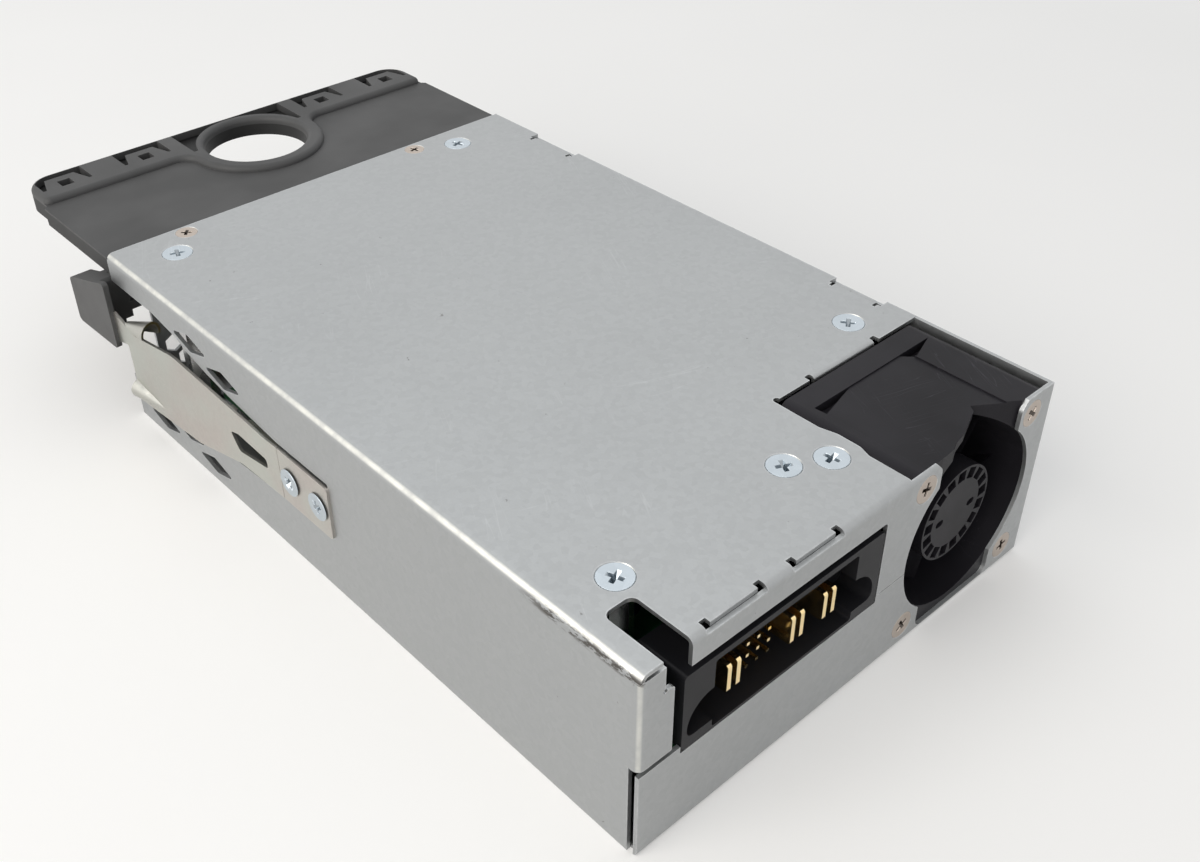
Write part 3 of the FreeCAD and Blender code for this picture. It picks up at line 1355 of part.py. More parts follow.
nodes = {
    "base_chassis": make_base_chassis,
    "top_cover": make_top_cover,
    "rear_panel": make_rear_panel,
    "cover_posts": make_cover_posts,
    "cover_screws": make_cover_screws,
    "handle": make_handle,
    "handle_screws": make_handle_screws,
    "latch_root": make_latch_root,
    "latch_arm": make_latch_arm,
    "latch_tab": make_latch_tab,
    "latch_nut_plate": make_latch_nut_plate,
    "latch_screws": make_latch_screws,
    "fan_frame": make_fan_frame,
    "fan_rotor": make_fan_rotor,
    "fan_magnet": make_fan_magnet,
    "fan_shaft": make_fan_shaft,
    "fan_bearings": make_fan_bearings,
    "fan_stator": make_fan_stator,
    "fan_coils": make_fan_coils,
    "fan_screws": make_fan_screws,
    "connector_housing": make_connector_housing,
    "power_blades": make_power_blades,
    "signal_pins": make_signal_pins,
    "connector_board": make_connector_board,
    "main_board": make_main_board,
    "insulating_sheet": make_insulating_sheet,
    "board_standoffs": make_board_standoffs,
    "board_screws": make_board_screws,
    "bus_bars": make_bus_bars,
    "bulk_capacitors": make_bulk_capacitors,
    "transformer_core": make_transformer_core,
    "transformer_winding": make_transformer_winding,
    "pfc_choke": make_pfc_choke,
    "emi_choke": make_emi_choke,
    "x_capacitor": make_x_capacitor,
    "output_capacitors": make_output_capacitors,
    "primary_heatsink": make_primary_heatsink,
    "output_heatsink": make_output_heatsink,
    "power_transistors": make_power_transistors,
    "ac_inlet": make_ac_inlet,
    "inlet_pins": make_inlet_pins,
    "status_led": make_status_led,
}

os.makedirs("parts", exist_ok=True)
for name, make in nodes.items():
    shape = make()
    shape.exportStep("parts/" + name + ".step")
    print(name, len(shape.Solids), round(shape.Volume, 1), shape.isValid())
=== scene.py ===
# %% [markdown]
# # A hot swap server power supply
# The folded steel case, the spring latch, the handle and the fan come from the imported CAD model, and
# nothing here moves or bends them. This lesson gives each of them the finish that the real piece has,
# adds the little that a CAD solid can't carry, and sets a plain studio round it. Loading the packed
# model first means that everything below can be placed from its measured boxes, not by eye.

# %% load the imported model
import math

import bpy
import numpy as np
from mathutils import Euler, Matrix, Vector


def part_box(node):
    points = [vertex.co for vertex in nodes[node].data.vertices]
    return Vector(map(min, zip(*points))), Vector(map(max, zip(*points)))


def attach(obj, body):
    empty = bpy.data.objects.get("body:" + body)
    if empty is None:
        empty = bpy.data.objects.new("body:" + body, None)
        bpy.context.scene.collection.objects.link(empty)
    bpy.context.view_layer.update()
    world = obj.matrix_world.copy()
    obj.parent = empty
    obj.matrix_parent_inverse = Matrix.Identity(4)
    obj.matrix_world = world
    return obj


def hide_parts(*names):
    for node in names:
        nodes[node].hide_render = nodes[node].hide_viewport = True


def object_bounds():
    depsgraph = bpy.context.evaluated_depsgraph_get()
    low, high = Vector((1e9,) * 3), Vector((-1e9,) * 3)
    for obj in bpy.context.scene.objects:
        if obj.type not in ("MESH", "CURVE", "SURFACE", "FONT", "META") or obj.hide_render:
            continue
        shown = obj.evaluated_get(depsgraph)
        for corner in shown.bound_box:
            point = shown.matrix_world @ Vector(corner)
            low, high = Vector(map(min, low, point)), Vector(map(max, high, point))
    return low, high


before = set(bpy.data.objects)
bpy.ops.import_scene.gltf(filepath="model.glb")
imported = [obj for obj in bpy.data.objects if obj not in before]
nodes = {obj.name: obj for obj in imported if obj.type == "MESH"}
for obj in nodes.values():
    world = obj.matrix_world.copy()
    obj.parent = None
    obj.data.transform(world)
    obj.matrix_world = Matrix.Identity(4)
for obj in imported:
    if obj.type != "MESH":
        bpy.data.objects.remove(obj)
cad_low, cad_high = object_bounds()
MM = 0.001
print("CAD box in mm:", [round(v / MM, 1) for v in (*cad_low, *cad_high)])

# %% [markdown]
# ## Camera
# The case is seen from its inner left corner, a little above. A lens of about 40 mm, held some 25 cm
# away, gives the strong perspective of a close product shot; a longer lens would make the sides look
# parallel. The turn is written as plain angles about X, Y and Z.

# %% camera
def add_object(name, data):
    """Makes an object of its data and links it to the scene."""
    item = bpy.data.objects.new(name, data)
    bpy.context.scene.collection.objects.link(item)
    return item


camera_data = bpy.data.cameras.new("camera")
camera_data.sensor_width = 36.0
camera_data.lens = 40.18
camera_data.shift_x = -0.0016
camera_data.shift_y = -0.0195
camera_data.clip_start, camera_data.clip_end = 0.01, 20.0
camera = add_object("camera", camera_data)
camera.location = Vector((-144.2, -169.8, 181.3)) * MM
camera.rotation_euler = Euler([math.radians(a) for a in (53.78, -0.20, -42.97)])
bpy.context.scene.camera = camera
print("camera at", [round(v, 3) for v in camera.location])

# %% [markdown]
# ## Helpers for node trees
# Every finish below is a small tree of shader nodes. Such a tree can be laid out by hand in the shader
# editor, or node by node in code, where the lines for the sockets and links soon hide what the tree
# does. With these few helpers each node is one line: its kind, and what feeds it.

# %% nodes, values and links
def fill(tree, item, inputs):
    """Gives each named input of a node its value, or a link where the value is a socket."""
    for key, value in inputs.items():
        if isinstance(value, bpy.types.NodeSocket):
            tree.links.new(value, item.inputs[key])
        else:
            item.inputs[key].default_value = value


def put(tree, kind, inputs=None, **settings):
    """Adds a node. Settings are its properties; an input is a value, or a socket to link from."""
    item = tree.nodes.new(kind if kind.startswith("Node") else "ShaderNode" + kind)
    for key, value in settings.items():
        setattr(item, key, value)
    fill(tree, item, inputs or {})
    return item


def rgb(r, g, b):
    """A colour as a socket takes it, with a fourth value that is always 1."""
    return (r, g, b, 1.0)


def new_material(name):
    """An empty material, and the tree that its nodes go into."""
    material = bpy.data.materials.new(name)
    material.use_nodes = True
    tree = material.node_tree
    tree.nodes.clear()
    return material, tree


print("node helpers ready")

# %% [markdown]
# ### Sums, ranges and mixes
# Masks are multiplied, stretched and laid over each other all the time, and each such sum is a node as
# well. As calls that give back a socket they nest like ordinary sums, and a formula can still be read.

# %% sums, ranges and mixes
def maths(tree, operation, a, b=0.0):
    return put(tree, "Math", {0: a, 1: b}, operation=operation).outputs[0]


def times(tree, value, *factors):
    """Multiplies a value by each factor in turn."""
    for factor in factors:
        value = maths(tree, "MULTIPLY", value, factor)
    return value


def remap(tree, value, low, high, to_low=0.0, to_high=1.0):
    """A straight line from (low, high) to (to_low, to_high), held at both ends."""
    inputs = {0: value, 1: low, 2: high, 3: to_low, 4: to_high}
    return put(tree, "MapRange", inputs).outputs[0]


def mix(tree, factor, a, b):
    """Mixes two colours: sockets 6 and 7 are the colour inputs of the Mix node, and 2 its result."""
    return put(tree, "Mix", {0: factor, 6: a, 7: b}, data_type="RGBA").outputs[2]


print("sums ready")

# %% [markdown]
# ## Floor
# The case stands on a wide flat sheet, large enough that its rim never comes into view. It could be one
# stretched plane; a small grid worked out with numpy costs nothing more, and shows on the simplest of
# shapes how every new surface here is made: points on a grid, then quads between its lines.

# %% a flat grid
FLOOR_REACH = 3.0  # metres from the middle to each side, enough to fill any view
FLOOR_LINES = 9


def make_floor(reach, lines):
    """A square grid at z = 0: point (i, j) lies i and j equal steps on from the corner -reach, -reach."""
    line = np.linspace(-reach, reach, lines)
    x, y = np.meshgrid(line, line, indexing="ij")
    points = np.stack([x, y, np.zeros_like(x)], -1).reshape(-1, 3)
    first = np.arange(lines - 1)[:, None] * lines + np.arange(lines - 1)[None, :]
    quads = np.stack([first, first + lines, first + lines + 1, first + 1], -1).reshape(-1, 4)
    mesh = bpy.data.meshes.new("floor")
    mesh.from_pydata(points.tolist(), [], quads.tolist())
    return add_object("floor", mesh)


floor = make_floor(FLOOR_REACH, FLOOR_LINES)
print("floor of", len(floor.data.polygons), "quads")

# %% [markdown]
# ### Floor paint
# Plain pale paint keeps the shadow that seats the case; a floor of pure light would lose it. Seen by
# the camera, or mirrored in metal and gloss, the floor is a touch brighter than the light it gives, and
# far from the case it runs into white, so that no horizon shows. That is done with Light Path and not
# with more lamps, so the colours of the case stay as they are written.

# %% pale floor
FADE_FROM, FADE_TO = 0.35, 1.2  # metres from the middle, over which the floor runs into white
WHITE = rgb(1.0, 1.0, 1.0)


def seen_or_mirrored(tree):
    """1 on camera, glossy and transmission rays, 0 on the rays that light what is matt."""
    path = put(tree, "LightPath").outputs
    seen = maths(tree, "MAXIMUM", path["Is Camera Ray"], path["Is Glossy Ray"])
    return maths(tree, "MAXIMUM", seen, path["Is Transmission Ray"])


floor_material, tree = new_material("pale_floor")
where = put(tree, "TexCoord").outputs["Object"]
cloud = put(tree, "TexNoise", {"Scale": 9.0, "Detail": 2.0, "Vector": where}).outputs["Fac"]
paint = mix(tree, cloud, rgb(0.81, 0.80, 0.78), rgb(0.85, 0.84, 0.82))
matt = put(tree, "BsdfDiffuse", {"Color": paint}).outputs[0]
glow = put(tree, "Emission", {"Color": WHITE, "Strength": 0.14}).outputs[0]
near = put(tree, "AddShader", {0: matt, 1: glow}).outputs[0]
far = put(tree, "Emission", {"Color": WHITE, "Strength": 1.0}).outputs[0]
distance = put(tree, "VectorMath", {0: where}, operation="LENGTH").outputs["Value"]
fade = remap(tree, distance, FADE_FROM, FADE_TO)
seen = put(tree, "MixShader", {0: fade, 1: near, 2: far}).outputs[0]
choice = put(tree, "MixShader", {0: seen_or_mirrored(tree), 1: matt, 2: seen}).outputs[0]
put(tree, "OutputMaterial", {"Surface": choice})
floor.data.materials.append(floor_material)
print("floor runs into white from", FADE_FROM, "to", FADE_TO, "m")

# %% [markdown]
# ## World
# A studio's walls and ceiling are far off and soft, so the world stands for them. Its sky is white where
# it is seen or mirrored, and dimmer where it only lights: one plain sky of full strength would fill every
# shadow. The Standard view transform shows the colours as they are written.

# %% world
world = bpy.data.worlds.new("studio")
bpy.context.scene.world = world
world.use_nodes = True
tree = world.node_tree
tree.nodes.clear()
plain = put(tree, "Background", {"Color": rgb(0.95, 0.97, 1.0), "Strength": 0.55}).outputs[0]
white = put(tree, "Background", {"Color": WHITE, "Strength": 1.0}).outputs[0]
sky = put(tree, "MixShader", {0: seen_or_mirrored(tree), 1: plain, 2: white}).outputs[0]
put(tree, "OutputWorld", {"Surface": sky})
bpy.context.scene.view_settings.view_transform = "Standard"
print("world:", world.name)

# %% [markdown]
# ## Lamps
# Two large area lamps, a cool one overhead and a warmer window on the left, give the long soft
# highlights of a light tent; small hard lamps would put bright dots on every bend. The inner end gets
# only what the floor and the sky send it, so it reads as the darkest side.

# %% two lamps
def add_lamp(name, place, aim, size, watts, colour):
    """A square area lamp at place (metres), turned towards aim."""
    data = bpy.data.lights.new(name, "AREA")
    data.size, data.energy, data.color = size, watts, colour
    lamp = add_object(name, data)
    lamp.location = place
    lamp.rotation_euler = (Vector(place) - aim).to_track_quat("Z", "Y").to_euler()
    return lamp


COOL, WARM = (0.94, 0.985, 1.0), (1.0, 0.965, 0.92)
middle = (Vector(cad_low) + Vector(cad_high)) / 2
add_lamp("overhead", (0.22, 0.42, 0.92), middle, 0.9, 1.15, COOL)
add_lamp("window_left", (-0.9, -0.05, 0.55), middle, 1.1, 9.5, WARM)
print("two lamps turned to", [round(v, 3) for v in middle])

# %% [markdown]
# ## Shared effects
# Zinc bloom, hairline scratches, edge wear with its painted edge highlight and moulded grain turn up in
# several finishes. Each is a node group that gives out a mask or a shade only, so that every material can
# place it with values of its own and keep its own shader. Painting the same nodes into each material would
# be longer and would drift apart.

# %% helpers for node groups
def new_group(name, inputs, outputs):
    """A shader group with float outputs; an input with no value of its own is a vector, others floats.
    Gives back its tree, the sockets that come in, and the node that they go out by."""
    tree = bpy.data.node_groups.new(name, "ShaderNodeTree")
    for label, value in inputs.items():
        kind = "NodeSocketVector" if value is None else "NodeSocketFloat"
        socket = tree.interface.new_socket(label, in_out="INPUT", socket_type=kind)
        if value is not None:
            socket.default_value = value
    for label in outputs:
        tree.interface.new_socket(label, in_out="OUTPUT", socket_type="NodeSocketFloat")
    return tree, put(tree, "NodeGroupInput").outputs, put(tree, "NodeGroupOutput")


def stretched(tree, vector, factors):
    """Multiplies the three parts of a vector by three factors."""
    return put(tree, "VectorMath", {0: vector, 1: factors}, operation="MULTIPLY").outputs[0]


def dot(tree, a, b):
    """How far two unit vectors agree: 1 where they are the same, 0 at a right angle."""
    return put(tree, "VectorMath", {0: a, 1: b}, operation="DOT_PRODUCT").outputs["Value"]


def noise(tree, vector, scale, detail=2.0, roughness=0.5):
    """A soft random field round 0.5; a scale of 100 gives blobs of about a centimetre."""
    inputs = {"Vector": vector, "Scale": scale, "Detail": detail, "Roughness": roughness}
    return put(tree, "TexNoise", inputs).outputs["Fac"]


print("group helpers ready")

# %% [markdown]
# ### Zinc bloom
# Hot dip zinc freezes in crystals, each a shade lighter or darker than the next, under broad clouds
# that the bath leaves. A Voronoi texture gives every crystal a shade of its own and two noises give the
# clouds and the fine tooth. One noise alone would look like dirt, because it has no crystals.

# %% zinc bloom
def make_zinc_bloom():
    """Shade = 0.22 crystals + 0.50 clouds + 0.28 tooth, where 0.5 is the plain shade."""
    inputs = {"Vector": None, "Facets": 320.0, "Clouds": 22.0}
    tree, given, result = new_group("zinc_bloom", inputs, ["Shade"])
    where, facets = given["Vector"], given["Facets"]
    cells = put(tree, "TexVoronoi", {"Vector": where, "Scale": facets}, feature="F1")
    crystals = put(tree, "SeparateColor", {0: cells.outputs["Color"]}).outputs[0]
    clouds = noise(tree, where, given["Clouds"], 4.0, 0.6)
    tooth = noise(tree, where, times(tree, facets, 2.5), 3.0, 0.6)
    total = maths(tree, "ADD", times(tree, crystals, 0.22), times(tree, clouds, 0.5))
    total = maths(tree, "ADD", total, times(tree, tooth, 0.28))
    tree.links.new(total, result.inputs["Shade"])
    return tree


zinc_bloom = make_zinc_bloom()
print("group:", zinc_bloom.name)

# %% [markdown]
# ### Hairline scratches
# Every sheet that slides in a bay carries thin scratches, in more than one direction. They could be
# modelled or painted one by one; here a noise is stretched until its blobs are long needles, and the
# thin line where it crosses its middle value is the scratch. A second noise shows only some of them.

# %% hairline scratches
def make_scratches():
    """Mask = 1 falling to 0 as the stretched field leaves 0.5 by half_width, times a gate, in two
    directions."""
    needles, half_width = (14.0, 260.0, 260.0), 0.006
    tree, given, result = new_group("hairline_scratches", {"Vector": None, "Density": 1.0}, ["Mask"])
    lines = []
    for turn, seed in ((0.35, 1.7), (-1.1, 6.3)):
        spun = put(tree, "VectorRotate", {"Vector": given["Vector"], "Angle": turn},
                   rotation_type="Z_AXIS").outputs[0]
        moved = put(tree, "VectorMath", {0: spun, 1: (seed, seed, seed)}, operation="ADD").outputs[0]
        field = noise(tree, stretched(tree, moved, needles), given["Density"], 2.0, 0.6)
        off = maths(tree, "ABSOLUTE", maths(tree, "SUBTRACT", field, 0.5))
        line = remap(tree, off, 0.0, half_width, 1.0, 0.0)
        gate = remap(tree, noise(tree, moved, 60.0), 0.56, 0.66)
        lines.append(times(tree, line, gate))
    tree.links.new(maths(tree, "MAXIMUM", *lines), result.inputs["Mask"])
    return tree


hairline_scratches = make_scratches()
print("group:", hairline_scratches.name)

# %% [markdown]
# ### Edge wear and painted edge highlight
# Edges are rubbed bright first, and they catch a glint; one mask paints both, so a paler edge is partly
# wear and partly a painted highlight. Bevel, the shader node, gives the normal that a rounded edge would
# have; where it leaves the true normal there is an edge, whatever the mesh looks like. Painting a mask by
# hand would have to be redone each time the model changes.

# %% edge wear and painted edge highlight
def make_edge_wear_and_highlight():
    """Mask = how far the rounded normal turns from the true one, 0 on a flat and 1 on an edge, in
    patches."""
    inputs = {"Vector": None, "Radius": 0.0006, "Breakup": 400.0}
    tree, given, result = new_group("edge_wear_and_highlight", inputs, ["Mask"])
    rounded = put(tree, "Bevel", {"Radius": given["Radius"]}, samples=4).outputs[0]
    true_normal = put(tree, "NewGeometry").outputs["Normal"]
    bent = remap(tree, dot(tree, rounded, true_normal), 0.995, 0.90)
    patchy = remap(tree, noise(tree, given["Vector"], given["Breakup"], 3.0, 0.65), 0.35, 0.62)
    tree.links.new(times(tree, bent, patchy), result.inputs["Mask"])
    return tree


edge_wear_and_highlight = make_edge_wear_and_highlight()
print("group:", edge_wear_and_highlight.name)

# %% [markdown]
# ### Moulded grain
# The steel mould of a plastic part is spark eroded, which leaves a fine even tooth, and the plastic
# flows into it in slow swirls. Two noises far apart in size stand for the two; the fine one is meant
# for a bump, the broad one for colour and gloss.

# %% moulded grain
def make_moulded_grain():
    """Height = a fine noise of the given Size, Mottle = a broad one; both run from 0 to 1."""
    tree, given, result = new_group("moulded_grain", {"Vector": None, "Size": 2600.0},
                                    ["Height", "Mottle"])
    tree.links.new(noise(tree, given["Vector"], given["Size"], 3.0, 0.7), result.inputs["Height"])
    tree.links.new(noise(tree, given["Vector"], 45.0, 3.0, 0.55), result.inputs["Mottle"])
    return tree


moulded_grain = make_moulded_grain()
print("group:", moulded_grain.name)

# %% [markdown]
# ### Scuffs and painted highlight
# The crest of the long bend on the left, and more weakly that of the inner bend, get a painted highlight:
# a pale streak where the normal matches that of the crest. Dark scuffs lie on the wall just under the long
# bend, near the inner end. They hang on the shape of this one piece, so the group finds the crest from the
# normal and the scuffs from the place, not from a painted map.

# %% scuffs and painted highlight
cover_low, cover_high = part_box("top_cover")
LONG_BEND, INNER_BEND = (-0.71, 0.0, 0.71), (-0.71, -0.71, 0.0)  # normals on the crests of two bends


def make_scuffs_and_highlight():
    """Highlight = a painted highlight: how near the normal is to one of the crests' normals, in patches.
    Scuff = dark streaks in a band round Height on the left wall, from Start and gone Length further
    on, and a few specks everywhere."""
    inputs = {"Vector": None, "Normal": None, "Start": -0.08, "Length": 0.027, "Height": 0.0394}
    tree, given, result = new_group("scuffs_and_highlight", inputs, ["Line", "Scuff"])
    where = given["Vector"]
    # painted highlight: pale where the normal matches a crest's normal, weaker on the inner bend
    crests = []
    for crest, strength in ((LONG_BEND, 1.0), (INNER_BEND, 0.6)):
        crests.append(remap(tree, dot(tree, given["Normal"], crest), 0.93, 1.0, 0.0, strength))
    patchy = remap(tree, noise(tree, where, 300.0, 3.0, 0.6), 0.30, 0.60, 0.45, 1.0)
    line = times(tree, maths(tree, "MAXIMUM", *crests), patchy)
    place = put(tree, "SeparateXYZ", {0: where}).outputs
    off = maths(tree, "ABSOLUTE", maths(tree, "SUBTRACT", place["Z"], given["Height"]))
    band = remap(tree, off, 0.4 * MM, 1.2 * MM, 1.0, 0.0)
    past = maths(tree, "DIVIDE", maths(tree, "SUBTRACT", place["Y"], given["Start"]), given["Length"])
    reach = remap(tree, past, 0.75, 1.0, 1.0, 0.0)
    wall = remap(tree, place["X"], cover_low[0] + 1.25 * MM, cover_low[0] + 0.55 * MM)
    along_wall = stretched(tree, where, (1.0, 0.35, 1.0))
    streaks = remap(tree, noise(tree, along_wall, 900.0, 4.0, 0.7), 0.45, 0.52)
    specks = remap(tree, noise(tree, where, 420.0, 3.0, 0.6), 0.735, 0.76)
    scuff = maths(tree, "MAXIMUM", times(tree, band, reach, wall, streaks), times(tree, specks, 0.5))
    tree.links.new(line, result.inputs["Line"])
    tree.links.new(scuff, result.inputs["Scuff"])
    return tree


scuffs_and_highlight = make_scuffs_and_highlight()
print("group:", scuffs_and_highlight.name)

# %% [markdown]
# ## Metals
# The case is zinc coated steel: grey, satin, with a faint crystal pattern. The latch leaf is bare
# spring steel, warmer and smoother. Screws are zinc or nickel plated. One function builds them all,
# because they differ only in colour, gloss and how strongly each effect shows.

# %% helpers for finishes
def place_group(tree, group, inputs):
    """Places a group in a tree; its node must know the group before its sockets exist."""
    item = tree.nodes.new("ShaderNodeGroup")
    item.node_tree = group
    fill(tree, item, inputs)
    return item.outputs


def shade_of(colour, factor):
    """The same colour made lighter or darker."""
    return rgb(*[min(1.0, c * factor) for c in colour])


def dress(material, *names):
    """Puts a finish on CAD nodes, in the slots of their objects."""
    for name in names:
        if not nodes[name].material_slots:
            nodes[name].data.materials.append(material)
        for slot in nodes[name].material_slots:
            slot.material = material
    print(material.name, "on", ", ".join(names))


print("finish helpers ready")

# %% [markdown]
# ### Scuffs, painted highlight and painted shade in recesses
# Two effects belong to a few metal pieces only: the scuffs and the painted highlight along the cover's
# bends, and the cross recess of a screw, which the punch leaves smooth and which gets a painted shade.
# Each is a short function that changes a colour and a roughness on their way to the shader, so it can be
# left out.

# %% marks and recesses
# the first colour is a painted highlight for the crests of the bends, the second the colour of the scuffs
PAINTED_HIGHLIGHT, GRIME = rgb(0.88, 0.87, 0.80), rgb(0.06, 0.05, 0.04)
RECESS_ROUGH = 0.10  # the punch that presses a recess leaves it smooth


def add_scuffs_and_highlight(tree, where, marks, base, rough):
    """Lays the scuffs and the painted highlight over a metal: a painted highlight and smoother on the
    crests, dark in the scuffs.
    """
    normal = put(tree, "TexCoord").outputs["Normal"]
    mark = place_group(tree, scuffs_and_highlight, {"Vector": where, "Normal": normal, **marks})
    # painted highlight on the crests of the bends
    base = mix(tree, times(tree, mark["Line"], 0.8), base, PAINTED_HIGHLIGHT)
    base = mix(tree, times(tree, mark["Scuff"], 0.85), base, GRIME)
    return base, maths(tree, "SUBTRACT", rough, times(tree, mark["Line"], 0.10))


def add_recess(tree, colour, recess, recess_shade, base, rough):
    """Paints shade into the metal, and polishes it, where the vertex attribute `recess` is 1."""
    sunk = put(tree, "Attribute", attribute_name=recess).outputs["Fac"]
    # painted shade in the cross recess
    base = mix(tree, sunk, base, shade_of(colour, recess_shade))
    return base, remap(tree, sunk, 0.0, 1.0, rough, RECESS_ROUGH)


print("marks and recesses ready")

# %% [markdown]
# ### One function for every metal
# From bottom to top: bloom, tint, scratches, edges paler from use and as a painted highlight, scuffs with
# the painted highlight of the bends, and the painted shade of a recess all feed Base Color and Roughness,
# and a very low bump comes from bloom and scratches. Numbers that are the same all over a piece go
# straight to the shader's own sockets, where an exporter can find them.

# %% metal
LINE_SHARE, LINE_SHINE = 0.25, 1.35  # how much of a scratch shows, and how much brighter it is
EDGE_SHINE, EDGE_POLISH = 1.5, 0.08  # how much brighter an edge is, from use and as a painted highlight, and how much smoother
BLOOM_SWING = 0.05  # how far the bloom moves the roughness to each side


def metal(name, colour, roughness, bloom=0.08, facets=320.0, wear_and_highlight=0.35, bump=0.2, tint=None,
          recess=None, recess_shade=0.4, marks=None):
    """A plated or rolled metal: colour carried by zinc bloom, thin scratches, and edges paler from use and
    as a painted highlight.
    `tint` is a second colour that comes and goes in broad clouds, as on tempered spring steel.
    `recess` names a vertex attribute that is 1 in a glossy cross recess, and `recess_shade` the factor of
    painted shade on the colour there; `marks` gives the inputs of the scuffs and the painted highlight."""
    material, tree = new_material(name)
    where = put(tree, "TexCoord").outputs["Object"]
    shade = place_group(tree, zinc_bloom, {"Vector": where, "Facets": facets})["Shade"]
    lines = place_group(tree, hairline_scratches, {"Vector": where})["Mask"]
    edge_mask = place_group(tree, edge_wear_and_highlight, {"Vector": where, "Radius": 0.5 * MM})["Mask"]
    spread = remap(tree, shade, 0.3, 0.7)
    base = mix(tree, spread, shade_of(colour, 1.0 - bloom), shade_of(colour, 1.0 + bloom))
    if tint:
        base = mix(tree, remap(tree, noise(tree, where, 60.0), 0.38, 0.62), base, rgb(*tint))
    base = mix(tree, times(tree, lines, LINE_SHARE), base, shade_of(colour, LINE_SHINE))
    # edges paler from use and as a painted highlight
    base = mix(tree, times(tree, edge_mask, wear_and_highlight), base, shade_of(colour, EDGE_SHINE))
    rough = remap(tree, shade, 0.3, 0.7, roughness + BLOOM_SWING, roughness - BLOOM_SWING)
    rough = maths(tree, "SUBTRACT", rough, times(tree, edge_mask, EDGE_POLISH))
    if marks:
        base, rough = add_scuffs_and_highlight(tree, where, marks, base, rough)
    if recess:
        base, rough = add_recess(tree, colour, recess, recess_shade, base, rough)
    height = maths(tree, "SUBTRACT", shade, times(tree, lines, 0.6))
    relief = put(tree, "Bump", {"Height": height, "Strength": bump, "Distance": 0.05 * MM})
    skin = put(tree, "BsdfPrincipled", {"Base Color": base, "Metallic": 1.0, "Roughness": rough,
                                        "Normal": relief.outputs[0]})
    put(tree, "OutputMaterial", {"Surface": skin.outputs[0]})
    return material


print("metal ready")

# %% [markdown]
# ### Case
# The base and the cover are folded from the same zinc coated sheet, so they share every value. The
# cover alone also has the scuffs and the painted highlight of its bends. Bright edges and bends are most
# of what tells folded sheet from a milled block, so the edge brightening, from use and as a painted
# highlight, is strong here.

# %% case steel
BEND_FOOT = 1.6 * MM  # from the top of the case down to the foot of its long bend
steel = {"colour": (0.402, 0.412, 0.416), "roughness": 0.50, "bloom": 0.028, "facets": 900.0, "wear_and_highlight": 0.9}
cover_marks = {"Start": cover_low[1], "Height": cover_high[2] - BEND_FOOT}
dress(metal("galvanised_steel", **steel), "base_chassis", "rear_panel")
dress(metal("cover_steel", marks=cover_marks, **steel), "top_cover")

# %% [markdown]
# ### Latch leaf and screws
# Spring steel is tempered, which tints it in slow patches from straw to grey. The cover's and the
# latch's screws are zinc plated and bluish; those of the fan and the handle are nickel plated, browner,
# with more painted shade in their recesses. The two platings read the attribute that marks a recess, and
# darken it as painted shade.

# %% leaf and platings
dress(metal("spring_steel", (0.49, 0.455, 0.425), 0.40, bloom=0.03, facets=1400.0, bump=0.06,
            tint=(0.49, 0.50, 0.46)), "latch_root", "latch_arm")
zinc_plate = metal("zinc_plate", (0.50, 0.55, 0.59), 0.46, bloom=0.04, wear_and_highlight=0.1, recess="recess", recess_shade=0.7)
nickel_plate = metal("nickel_plate", (0.47, 0.41, 0.36), 0.42, bloom=0.05, wear_and_highlight=0.2, recess="recess",
                     recess_shade=0.2)
dress(zinc_plate, "cover_screws", "latch_screws", "board_screws")
dress(nickel_plate, "fan_screws", "handle_screws")

# %% [markdown]
# ### Inner metals
# Contacts are gold over a smooth blade, windings are enamelled copper, and the sinks are plain
# aluminium. Little of this shows from outside, but through the connector, the vents and the fan it
# must not look like one grey lump.

# %% inner metals
dress(metal("steel_pin", (0.60, 0.60, 0.60), 0.25, bloom=0.03), "cover_posts", "latch_nut_plate",
      "fan_shaft", "board_standoffs", "inlet_pins")
dress(metal("gold_contact", (1.0, 0.76, 0.40), 0.16, bloom=0.03), "power_blades", "signal_pins")
dress(metal("copper", (0.72, 0.33, 0.16), 0.35), "bus_bars", "fan_coils", "pfc_choke", "emi_choke")
dress(metal("bronze", (0.45, 0.30, 0.16), 0.40), "fan_bearings")
dress(metal("laminated_iron", (0.22, 0.22, 0.23), 0.45), "fan_stator")
dress(metal("heatsink_aluminium", (0.60, 0.61, 0.62), 0.42), "primary_heatsink", "output_heatsink")

# %% [markdown]
# ## Plastics, boards and dark parts
# Moulded plastic is never one flat colour: it has a fine sparked grain, a slow mottle where it flowed,
# and paler corners, partly from hands and partly a painted highlight. Grain goes into a bump, mottle into
# colour and gloss; a plain grey would look like a paper model.

# %% moulding
PALE_EDGE_SHARE, PALE_EDGE_FACTOR = 0.25, 2.2  # how much of the edge mask shows, and how much paler an edge is, from use and as a painted highlight
LINE_PALER, PAINTED_SHADE = 4.0, 0.3  # scratches, and the painted shade below a height
FLOW_SWING = 0.04  # how far the mottle moves the roughness to each side


